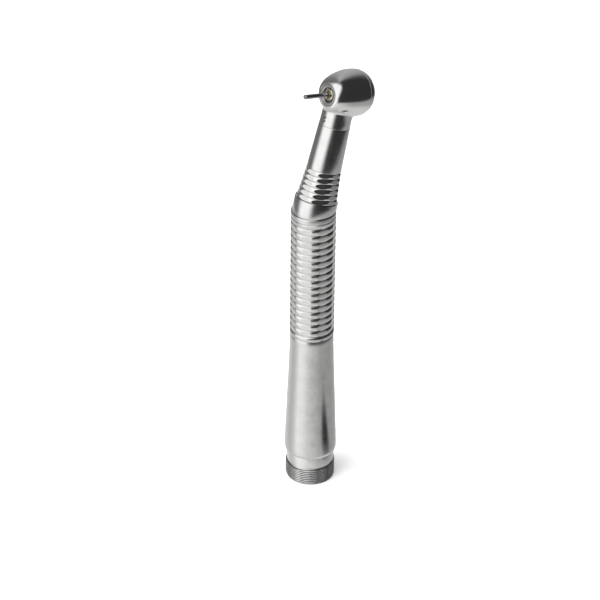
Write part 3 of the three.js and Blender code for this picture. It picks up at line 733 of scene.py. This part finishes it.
def inner_tube(name, angle, lane, outer, inner):
    """A hollow tube from the connector block, up the handle and round the bend to the stem."""
    start_x, start_y, _ = on_circle(HOLE_CIRCLE, angle, 0)
    bottom = BLOCK_TOP - TUBE_SOCKET + 0.4
    top = unbent(STEM.bottom + 1)
    straight = np.linspace(bottom, BEND_START, LANE.steps)
    heights = np.concatenate([straight, np.linspace(BEND_START + 0.4, top, LANE.steps)])
    cross = np.clip((heights - LANE.low) / LANE.rise, 0, 1)
    cross = cross * cross * (3 - 2 * cross)
    x = start_x + (lane[0] - start_x) * cross
    y = start_y + (lane[1] - start_y) * cross
    path = bent(np.stack([x, y, heights], 1))
    ways = np.gradient(path, axis=0)
    layers = []
    for radius, order in ((outer, 1), (inner, -1)):
        for point, way in list(zip(path, ways))[::order]:
            way = Vector(way).normalized()
            across = Vector((1, 0, 0))
            across = (across - way * across.dot(way)).normalized()
            other = way.cross(across)
            for turn in round_angles(LANE.sides):
                out = across * cos(turn) + other * sin(turn)
                layers.append(Vector(point) + radius * out)
    return mesh_object(name, layers, loft(2 * len(path), LANE.sides), HANDLE_FRAME, 60)

# ---------------- turbine cartridge


def race_outline(land, height, way):
    """A race's grooved side, passed upward or downward."""
    radius, half = land.radius, BEARING.width / 2
    return [
        (radius, height - way * half, 0.04),
        (radius, height - way * GROOVE_HALF, 0.03),
        *[(radius + land.groove * (1 - (k / 4) ** 2), height + way * 0.1 * k) for k in range(-3, 4)],
        (radius, height + way * GROOVE_HALF, 0.03),
        (radius, height + way * half, 0.04),
    ]


def outer_race(name, height):
    half = BEARING.width / 2
    back = [(BEARING.outer, height - half, 0.12), (BEARING.outer, height + half, 0.12)]
    return turned(name, back + race_outline(OUTER_LAND, height, -1))


def inner_race(name, height):
    half = BEARING.width / 2
    back = [(BEARING.inner, height + half, 0.08), (BEARING.inner, height - half, 0.08)]
    return turned(name, race_outline(INNER_LAND, height, 1) + back)


def ball_cage(name, height):
    """A pocketed cage ring and its seven balls."""
    cage = turned(name, [
        (CAGE.outer, height - CAGE.half, 0.05),
        (CAGE.outer, height + CAGE.half, 0.05),
        (CAGE.inner, height + CAGE.half, 0.05),
        (CAGE.inner, height - CAGE.half, 0.05),
    ])
    count = BALL.count
    places = [on_circle(BALL.circle, 360 * (i + BALL.first) / count, height) for i in range(count)]
    cut(cage, [ball("cutter", place, BALL.radius + 0.03) for place in places])
    balls = [ball(f"{name}_ball_{i + 1}", place, BALL.radius) for i, place in enumerate(places)]
    return cage, balls


def ball(name, place, radius):
    work = bmesh.new()
    bmesh.ops.create_icosphere(work, subdivisions=3, radius=radius)
    points = [vertex.co + Vector(place) for vertex in work.verts]
    faces = [[vertex.index for vertex in face.verts] for face in work.faces]
    work.free()
    return mesh_object(name, points, faces, HEAD_FRAME, 60)


def wave_washer():
    lift = WASHER.height + WASHER.wave / 2 * np.sin(WASHER.waves * round_angles(FINE))
    outer, inner, half = WASHER.outer, WASHER.inner, WASHER.thick / 2
    corners = [(outer, -half), (outer, half), (inner, half), (inner, -half)]
    rings = [(radius, lift + offset) for radius, offset in corners]
    return soften(ring_mesh("preload_washer_waved", rings, FINE, HEAD_FRAME), 0.03)


def spindle():
    shoulder = BEARING.width / 2 + SLIP
    return turned("rotor_spindle_turned", [
        (SPINDLE.radius, SPINDLE.back, 0.12),
        (SPINDLE.radius, BEARING.rear + shoulder),
        (SPINDLE.flange, BEARING.rear + shoulder, 0.05),
        (SPINDLE.flange, BEARING.front - shoulder, 0.05),
        (SPINDLE.radius, BEARING.front - shoulder),
        (SPINDLE.radius, SPINDLE.front - 0.55, 0.3),
        (SPINDLE.radius - 0.25, SPINDLE.front, 0.17),
        (SPINDLE.bore, SPINDLE.front, 0.04),
        (SPINDLE.bore, SPINDLE.back, 0.06),
    ])


def impeller():
    pitch = 2 * pi / IMPELLER.blades
    blade = [(share * IMPELLER.radius, turn) for share, turn in BLADE]
    blade = [(IMPELLER.hub, 0), *blade, (IMPELLER.hub, BLADE_FOOT)]
    outside = [(radius, pitch * (i + turn)) for i in range(IMPELLER.blades) for radius, turn in blade]
    inside = [(IMPELLER.bore, angle) for _, angle in outside]
    back, front = IMPELLER.back, IMPELLER.front
    points = []
    for ring, level in ((outside, back), (outside, front), (inside, front), (inside, back)):
        points += [(radius * cos(a), radius * sin(a), level) for radius, a in ring]
    body = mesh_object("impeller_bladed", points, loft(4, len(outside)), HEAD_FRAME)
    return soften(body, 0.04, 50)


def collet():
    body = turned("chuck_collet_slit", [
        (COLLET.outer, COLLET.back, 0.05),
        (COLLET.outer, COLLET.front, 0.1),
        (COLLET.inner, COLLET.front, 0.05),
        (COLLET.inner, COLLET.back, 0.05),
    ])
    slits = []
    for i in range(COLLET.slits):
        low = (0.2, -COLLET.slit / 2, COLLET.end)
        high = (2, COLLET.slit / 2, COLLET.front + 1)
        slits.append(block(low, high, 2 * pi * i / COLLET.slits, HEAD_FRAME))
    return cut(body, slits)


def chuck_screw():
    body = turned("chuck_screw_hex", [
        (0, SCREW.back),
        (COLLET.outer, SCREW.back, 0.12),
        (COLLET.outer, SCREW.front, 0.1),
        (0, SCREW.front),
    ])
    start, end = (0, 0, SCREW.back - 1), (0, 0, SCREW.back + SCREW.depth)
    return cut(body, [bar(start, end, SCREW.socket, HEAD_FRAME, 6)])


def bur():
    return turned("bur_blank", [
        (0, BUR.back),
        (BUR.shank, BUR.back, 0.1),
        (BUR.shank, BUR.step - 0.1, 0.06),
        (BUR.pin, BUR.step + 0.2, 0.08),
        (BUR.pin, BUR.tip - BUR.chamfer, 0.04),
        (BUR.pin - BUR.chamfer, BUR.tip, 0.03),
        (0, BUR.tip),
    ])

# ---------------- materials


class Tree:
    """A node tree, with short calls for the nodes used here."""

    def __init__(self, tree):
        self.tree = tree

    def add(self, kind, **settings):
        node = self.tree.nodes.new("ShaderNode" + kind)
        for key, value in settings.items():
            setattr(node, key, value)
        return node

    def link(self, source, target):
        self.tree.links.new(source, target)

    def spread(self, value, low, high, to_low=0.0, to_high=1.0):
        node = self.add("MapRange", interpolation_type="SMOOTHSTEP")
        for key, number in (("From Min", low), ("From Max", high), ("To Min", to_low), ("To Max", to_high)):
            node.inputs[key].default_value = number
        self.link(value, node.inputs["Value"])
        return node.outputs["Result"]

    def math(self, operation, first, second=0.0):
        node = self.add("Math", operation=operation)
        for socket, value in zip(node.inputs, (first, second)):
            if isinstance(value, (int, float)):
                socket.default_value = value
            else:
                self.link(value, socket)
        return node.outputs[0]

    def multiply(self, first, second):
        return self.math("MULTIPLY", first, second)

    def blend(self, factor, first, second):
        """A number between first and second."""
        keep = self.multiply(first, self.math("SUBTRACT", 1.0, factor))
        return self.math("ADD", keep, self.multiply(second, factor))


class Nodes(Tree):
    """The tree of a new material, whose textures are placed in mm."""

    def __init__(self, name):
        self.material = bpy.data.materials.new(name)
        self.material.use_nodes = True
        super().__init__(self.material.node_tree)
        self.shader = self.tree.nodes["Principled BSDF"]
        scale = self.add("VectorMath", operation="SCALE")
        scale.inputs["Scale"].default_value = 1 / MM
        self.link(self.add("TexCoord").outputs["Object"], scale.inputs[0])
        self.place = scale.outputs[0]

    def noise(self, scale, detail=4, stretch=(1, 1, 1), roughness=0.55):
        squeeze = self.add("VectorMath", operation="MULTIPLY")
        squeeze.inputs[1].default_value = stretch
        self.link(self.place, squeeze.inputs[0])
        node = self.add("TexNoise")
        node.inputs["Scale"].default_value = scale
        node.inputs["Detail"].default_value = detail
        node.inputs["Roughness"].default_value = roughness
        self.link(squeeze.outputs[0], node.inputs["Vector"])
        return node.outputs["Fac"]

    def along(self, way):
        """The distance along an axis in mm."""
        node = self.add("VectorMath", operation="DOT_PRODUCT")
        node.inputs[1].default_value = way
        self.link(self.place, node.inputs[0])
        return node.outputs["Value"]

    def turning(self, way, scale):
        """Fine grooves round an axis, as left by a lathe tool."""
        node = self.add("TexNoise", noise_dimensions="1D")
        node.inputs["Scale"].default_value = scale
        node.inputs["Detail"].default_value = 5
        node.inputs["Roughness"].default_value = 0.7
        self.link(self.along(way), node.inputs["W"])
        return node.outputs["Fac"]

    def mix(self, factor, first, second):
        node = self.add("Mix", data_type="RGBA")
        self.link(factor, node.inputs["Factor"])
        for key, value in (("A", first), ("B", second)):
            socket = [s for s in node.inputs if s.name == key and s.type == "RGBA"][0]
            if isinstance(value, tuple):
                socket.default_value = (*value, 1)
            else:
                self.link(value, socket)
        return [s for s in node.outputs if s.type == "RGBA"][0]

    def bump(self, height, distance, strength=1.0):
        node = self.add("Bump")
        node.inputs["Distance"].default_value = distance * MM
        node.inputs["Strength"].default_value = strength
        self.link(height, node.inputs["Height"])
        self.link(node.outputs["Normal"], self.shader.inputs["Normal"])

    def feed(self, socket, value):
        self.link(value, self.shader.inputs[socket])

    def set(self, **values):
        for key, value in values.items():
            self.shader.inputs[key.replace("_", " ")].default_value = value


def plated_metal(name, bright, hollow_colour, rough, way, grain, grain_depth, marks=0.06, smudge=0.05):
    """Turned and plated metal: lathe grain, fine handling scratches, smudges, and a base colour darker in
    the hollows.
    """
    nodes = Nodes(name)
    nodes.set(Metallic=1.0)
    cloud = nodes.noise(0.35, 5)
    fine = nodes.noise(2.2, 4)
    tone = nodes.spread(cloud, 0.35, 0.65)
    colour = nodes.mix(tone, bright, tuple(0.96 * c for c in bright))
    edges = nodes.add("NewGeometry").outputs["Pointiness"]
    # the base colour turns darker where the mesh is hollow, read from its pointiness
    hollow = nodes.spread(edges, 0.44, 0.5, 1, 0)
    colour = nodes.mix(nodes.multiply(hollow, 0.55), colour, hollow_colour)
    nodes.feed("Base Color", colour)
    lathe = nodes.turning(way, grain)
    scratch = nodes.spread(nodes.noise(3.0, 3, (1, 1, 0.16), 0.6), 0.57, 0.64)
    rub = nodes.multiply(nodes.spread(cloud, 0.4, 0.7), smudge)
    wear = nodes.multiply(scratch, marks)
    roughness = nodes.math("ADD", nodes.math("ADD", rub, wear), rough)
    roughness = nodes.math("ADD", roughness, nodes.spread(fine, 0.3, 0.7, -0.02, 0.02))
    nodes.feed("Roughness", roughness)
    height = nodes.math("ADD", lathe, nodes.multiply(scratch, -0.06))
    nodes.bump(height, grain_depth)
    return nodes.material


def turned_steel(name, colour, rough, way, grain, grain_depth):
    hollow_colour = tuple(0.55 * c for c in colour)
    return plated_metal(name, colour, hollow_colour, rough, way, grain, grain_depth, 0.1, 0.06)


def thread_metal(name, bright, groove, rough):
    """Turned steel, with painted shade: the base colour goes dark down in the grooves of the hose thread.
    """
    nodes = Nodes(name)
    nodes.set(Metallic=1.0)
    cloud = nodes.noise(0.35, 5)
    colour = nodes.mix(nodes.spread(cloud, 0.35, 0.65), bright, tuple(0.96 * c for c in bright))
    squares = [nodes.math("POWER", nodes.along(way), 2.0) for way in ((1, 0, 0), (0, 1, 0))]
    radius = nodes.math("SQRT", nodes.math("ADD", *squares))
    # painted shade: the colour darkens toward the thread's root, standing in for the shade in its grooves
    groove_shade = nodes.spread(radius, THREAD.root + 0.1, THREAD.crest - 0.05, 1, 0)
    top = RIM_Z / MM + THREAD.end
    on_thread = nodes.spread(nodes.along(UP), top - 0.3, top - 0.15, 1, 0)
    colour = nodes.mix(nodes.multiply(groove_shade, on_thread), colour, groove)
    nodes.feed("Base Color", colour)
    nodes.feed("Roughness", nodes.spread(cloud, 0.4, 0.7, rough, rough + 0.06))
    nodes.bump(nodes.turning(UP, 8), 0.0012)
    return nodes.material


def moulded(name, cloud, tones, first, second, wear, rough, grain, depth):
    """A matt moulded material: two clouded tones, uneven roughness and a fine grain."""
    nodes = Nodes(name)
    nodes.feed("Base Color", nodes.mix(nodes.spread(nodes.noise(*cloud), *tones), first, second))
    nodes.feed("Roughness", nodes.spread(nodes.noise(*wear), 0.3, 0.7, *rough))
    nodes.bump(nodes.noise(grain, 3), depth)
    return nodes.material


UP = (0.0, 0.0, 1.0)
NECK_AXIS = tuple(NECK_WAY)
BUR_AXIS = tuple(BUR_WAY)
CHROME = (0.79, 0.79, 0.78)
BRIGHT = (0.82, 0.82, 0.81)
HOLLOW_COLOUR = (0.4, 0.4, 0.4)

# Looks: the part's material slot, and the material.
SATIN = "satin_plate", plated_metal(
    "satin_plate", (0.8, 0.8, 0.79), (0.3, 0.3, 0.3), 0.2, UP, 9, 0.0022, 0.05, 0.06
)
NECK_CHROME = "polished_plate", plated_metal("neck_chrome", CHROME, HOLLOW_COLOUR, 0.17, NECK_AXIS, 7, 0.0006)
BAND_CHROME = "polished_plate", plated_metal(
    "band_chrome", BRIGHT, (0.35, 0.35, 0.35), 0.05, NECK_AXIS, 10, 0.0004
)
HEAD_CHROME = "polished_plate", plated_metal("head_chrome", CHROME, HOLLOW_COLOUR, 0.13, BUR_AXIS, 7, 0.0006)
# the third colour is the painted shade down in the thread's grooves
THREAD_STEEL = "connector_steel", thread_metal("thread_steel", (0.88, 0.88, 0.87), (0.2, 0.2, 0.2), 0.2)
TUBE_STEEL = "tube_steel", turned_steel("tube_steel", (0.62, 0.63, 0.64), 0.25, UP, 5, 0.001)
BEARING_STEEL = "bearing_steel", turned_steel(
    "bearing_steel", (0.66, 0.67, 0.68), 0.14, BUR_AXIS, 8, 0.0008
)
BUR_STEEL = "bur_steel", turned_steel("bur_steel", (0.5, 0.5, 0.5), 0.2, BUR_AXIS, 6, 0.001)
ALUMINIUM = "impeller_metal", turned_steel(
    "impeller_aluminium", (0.74, 0.76, 0.78), 0.28, BUR_AXIS, 6, 0.0015
)
SPINDLE_STEEL = "bearing_steel", turned_steel(
    "spindle_steel", (0.86, 0.81, 0.66), 0.12, BUR_AXIS, 8, 0.0008
)
NOSE_STEEL = "polished_plate", turned_steel("nose_steel", (0.5, 0.5, 0.49), 0.3, BUR_AXIS, 6, 0.001)
BRASS = "collet_brass", turned_steel("collet_brass", (0.83, 0.7, 0.42), 0.16, BUR_AXIS, 7, 0.001)
RUBBER = "seal_rubber", moulded(
    "seal_rubber", (1.5, 4), (0.3, 0.7), (0.016, 0.016, 0.017), (0.032, 0.031, 0.03),
    (6, 4), (0.55, 0.75), 18, 0.01,
)
WEAVE = (5, 5, (1, 1, 3))
PHENOLIC = "ball_cage", moulded(
    "cage_phenolic", WEAVE, (0.35, 0.65), (0.36, 0.22, 0.09), (0.5, 0.34, 0.16),
    WEAVE, (0.42, 0.6), 20, 0.008,
)

# ---------------- assembly


def place(piece, node, look, body="root"):
    """Gives a piece the material of its look, puts it under its body, and hides the CAD node it replaces,
    if any.
    """
    slot, material = look
    piece.data.materials.clear()
    piece.data.materials.append(material)
    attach(piece, body)
    if node:
        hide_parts(node)


def build_handle():
    place(rear_connector(), "rear_connector", THREAD_STEEL)
    place(connector_block(), "connector_block", THREAD_STEEL)
    place(grip_sleeve(), "grip_sleeve", SATIN)
    place(neck_tube(), "neck_tube", NECK_CHROME)
    place(polished_band(), "polished_band", BAND_CHROME)
    for lane, node, size, angle in (
        ("drive", "drive_air_tube", DRIVE, DRIVE.angle),
        ("air", "chip_air_tube", SPRAY, SPRAY.air),
        ("water", "water_tube", SPRAY, SPRAY.water),
    ):
        tube = inner_tube(f"{node}_bent", angle, NECK_LANES[lane], size.tube, size.bore)
        place(tube, node, TUBE_STEEL)


def build_head():
    place(head_housing(), "head_housing", HEAD_CHROME)
    place(nose_ring(), "head_housing", NOSE_STEEL)
    place(back_cap(), "back_cap", HEAD_CHROME, "cap")
    seal = round_ring("cap_seal_ring", CAP_SEAL.radius, CAP_SEAL.tube, CAP_FACE + 0.19)
    place(seal, "cap_seal", RUBBER, "cap_carrier")
    for side, node in (("water", "water_nozzle"), ("air", "chip_air_nozzle")):
        place(spray_nozzle(f"{node}_drilled", SPRAY_TIP[side]), node, TUBE_STEEL)


def build_turbine():
    for side, carrier in (("front", "root"), ("rear", "cap_carrier")):
        height = BEARING[side]
        outer = outer_race(f"{side}_outer_race_ground", height)
        place(outer, f"{side}_bearing_outer_race", BEARING_STEEL)
        inner = inner_race(f"{side}_inner_race_ground", height)
        place(inner, f"{side}_bearing_inner_race", BEARING_STEEL, "rotor")
        cage, balls = ball_cage(f"{side}_cage", height)
        place(cage, f"{side}_bearing_balls", PHENOLIC, f"{side}_balls")
        for one in balls:
            place(one, None, BEARING_STEEL, f"{side}_balls")
        cushion = round_ring(f"{side}_cushion_moulded", CUSHION.radius, CUSHION.tube, height)
        place(cushion, f"{side}_cushion_ring", RUBBER, carrier)
    place(wave_washer(), "preload_washer", BEARING_STEEL, "cap_carrier")
    place(spindle(), "rotor_spindle", SPINDLE_STEEL, "rotor")
    place(impeller(), "impeller", ALUMINIUM, "rotor")
    place(collet(), "chuck_collet", BRASS, "collet")
    place(chuck_screw(), "chuck_screw", BEARING_STEEL, "screw")
    place(bur(), "bur", BUR_STEEL, "bur_body")

# ---------------- camera, floor and light

VIEW_AZIMUTH = 50
VIEW_PITCH = 32.9
VIEW_ROLL = 0.65
RIM_IN_VIEW = Vector((2.57, -44.69, 656)) * MM   # the rim's centre: right, up and ahead of the camera
LENS = 150
FLOOR = Dims(radius=520, gap=0.02)
FLAG = Dims(right=28.5, near=15.5, turn=38, length=42, width=22, height=0.3, sides=32)
FLAG_RAYS = ("camera", "diffuse", "shadow", "transmission", "volume_scatter")
LIGHTS = [
    Dims(name="key", turn=-110, reach=0.5, height=0.9, size=0.8, power=9),
    Dims(name="top", turn=20, reach=0.1, height=1.3, size=1.2, power=16),
]


def build_camera():
    azimuth, pitch, roll = (radians(a) for a in (VIEW_AZIMUTH, VIEW_PITCH, VIEW_ROLL))
    right = Vector((cos(azimuth), sin(azimuth), 0))
    flat = cos(pitch)
    ahead = Vector((-sin(azimuth) * flat, cos(azimuth) * flat, -sin(pitch)))
    up = right.cross(ahead)
    rolled_right = right * cos(roll) + up * sin(roll)
    rolled_up = up * cos(roll) - right * sin(roll)
    axes = Matrix((rolled_right, rolled_up, -ahead)).transposed()
    rim = Vector((0, 0, RIM_Z))
    offset = rolled_right * RIM_IN_VIEW.x + rolled_up * RIM_IN_VIEW.y + ahead * RIM_IN_VIEW.z
    data = bpy.data.cameras.new("camera")
    data.lens = LENS
    data.sensor_width = 36
    data.clip_start, data.clip_end = 0.01, 10
    camera = bpy.data.objects.new("camera", data)
    camera.matrix_world = Matrix.Translation(rim - offset) @ axes.to_4x4()
    bpy.context.scene.collection.objects.link(camera)
    bpy.context.scene.camera = camera


def build_floor():
    """A round sheet of pale paper, just under the object."""
    nodes = Nodes("floor_paper")
    colour = nodes.mix(nodes.spread(nodes.noise(0.02, 3), 0.3, 0.7), (0.9, 0.9, 0.9), (0.885, 0.885, 0.885))
    nodes.feed("Base Color", colour)
    nodes.set(Roughness=0.9)
    corners = [on_circle(FLOOR.radius, 360 * k / SIDES, -FLOOR.gap) for k in range(SIDES)]
    floor = mesh_object("floor", corners, [tuple(range(SIDES))], HANDLE_FRAME)
    floor.data.materials.append(nodes.material)
    floor.visible_glossy = False


def build_flag():
    """A dark oval card on the floor, faded at its edge, that only the metal sees."""
    right = Matrix.Rotation(radians(VIEW_AZIMUTH), 4, "Z")
    spin = Matrix.Rotation(radians(-FLAG.turn), 4, "Z")
    length, width = FLAG.length / 2, FLAG.width / 2
    points = []
    for angle in round_angles(FLAG.sides):
        spot = spin @ Vector((length * cos(angle), width * sin(angle), FLAG.height))
        points.append(right @ (spot + Vector((FLAG.right, -FLAG.near, 0))))
    flag = mesh_object("flag", points, [tuple(range(FLAG.sides))], HANDLE_FRAME)
    nodes = Nodes("flag_cloth")
    nodes.set(Base_Color=(0.01, 0.01, 0.01, 1), Roughness=0.9)
    middle = sum((Vector(point) for point in points), Vector()) / len(points)
    reach = []
    for turn, half in ((-FLAG.turn, length), (90 - FLAG.turn, width)):
        way = Matrix.Rotation(radians(VIEW_AZIMUTH + turn), 3, "Z") @ Vector((1 / half, 0, 0))
        off = nodes.math("SUBTRACT", nodes.along(way), way.dot(middle))
        reach.append(nodes.math("POWER", nodes.math("ABSOLUTE", off), 2.0))
    cover = nodes.spread(nodes.math("ADD", *reach), 0.1, 1.0, 1.0, 0.0)
    nodes.feed("Alpha", cover)
    flag.data.materials.append(nodes.material)
    for ray in FLAG_RAYS:
        setattr(flag, f"visible_{ray}", False)


def build_lights():
    for lamp in LIGHTS:
        data = bpy.data.lights.new(lamp.name, "AREA")
        data.shape = "DISK"
        data.size = lamp.size
        data.energy = lamp.power
        light = bpy.data.objects.new(lamp.name, data)
        light.location = on_circle(lamp.reach, lamp.turn, lamp.height)
        light.rotation_euler = (-light.location).to_track_quat("-Z", "Y").to_euler()
        light.visible_glossy = False
        bpy.context.scene.collection.objects.link(light)


# What the metal reflects, as (degrees round from the camera, brightness); + is to the camera's right.
TABLE = [
    (-180, 0.85), (-160, 0.8), (-130, 0.66), (-105, 0.56), (-85, 0.66), (-62, 1.06), (-42, 0.98),
    (-20, 0.85), (0, 0.74), (20, 0.62), (40, 0.46), (70, 0.41), (110, 0.37), (140, 0.42), (160, 0.62),
    (180, 0.85),
]
ROOM = [
    (-180, 0.48), (-155, 0.22), (-112, 0.17), (-20, 0.1), (0, 0.05), (20, 0.035), (125, 0.035),
    (142, 0.12), (160, 0.36), (180, 0.48),
]
NEAR_TABLE = 0.7
BACKDROP = 1.0                     # what the camera itself sees past the floor
# Elevations in degrees: the table fades into the room at the first, its near part ends at the second.
HORIZON = (-31, -19)
NEAR = (-56, -36)
WINDOW = Dims(left=-87, right=-22, soft=16, lean=0.75, high=82, bright=1.2)


def build_world():
    """Brightness by direction: a table below the horizon, a room above it, and a window to the left."""
    world = bpy.data.worlds.new("studio")
    bpy.context.scene.world = world
    world.use_nodes = True
    nodes = Tree(world.node_tree)

    def ramp(value, stops):
        node = nodes.add("ValToRGB")
        elements = node.color_ramp.elements
        for index, (degrees, bright) in enumerate(stops):
            position = (degrees + 180) / 360
            inside = 0 < index < len(stops) - 1
            element = elements.new(position) if inside else elements[-1 if index else 0]
            element.position = position
            element.color = (bright, bright, bright, 1)
        nodes.link(value, node.inputs["Fac"])
        return node.outputs["Color"]

    turn = nodes.add("VectorRotate", rotation_type="Z_AXIS")
    turn.inputs["Angle"].default_value = radians(90 - VIEW_AZIMUTH)
    nodes.link(nodes.add("TexCoord").outputs["Generated"], turn.inputs["Vector"])
    parts = nodes.add("SeparateXYZ")
    nodes.link(turn.outputs[0], parts.inputs[0])
    round_turn = nodes.math("ARCTAN2", parts.outputs["Y"], parts.outputs["X"])
    round_angle = nodes.multiply(round_turn, 180 / pi)
    level = nodes.multiply(nodes.math("ARCSINE", parts.outputs["Z"]), 180 / pi)
    share = nodes.math("DIVIDE", nodes.math("ADD", round_angle, 180.0), 360.0)

    above = nodes.spread(level, *HORIZON)
    light = nodes.blend(above, ramp(share, TABLE), ramp(share, ROOM))
    left, right, high, soft = (WINDOW[key] for key in ("left", "right", "high", "soft"))
    lean = nodes.multiply(nodes.math("MAXIMUM", level, 0.0), WINDOW.lean)
    leaning = nodes.math("SUBTRACT", round_angle, lean)
    across = nodes.multiply(
        nodes.spread(round_angle, left - soft, left + soft),
        nodes.spread(leaning, right - soft, right + soft, 1.0, 0.0),
    )
    upward = nodes.multiply(above, nodes.spread(level, high - soft, high + soft, 1.0, 0.0))
    light = nodes.blend(nodes.multiply(across, upward), light, WINDOW.bright)
    light = nodes.blend(nodes.spread(level, *NEAR), NEAR_TABLE, light)
    seen = nodes.add("LightPath").outputs["Is Camera Ray"]
    light = nodes.blend(seen, light, BACKDROP)
    nodes.link(light, nodes.tree.nodes["Background"].inputs["Color"])
    bpy.context.scene.view_settings.view_transform = "Standard"


build_camera()
build_floor()
build_flag()
build_lights()
build_world()
build_handle()
build_head()
build_turbine()
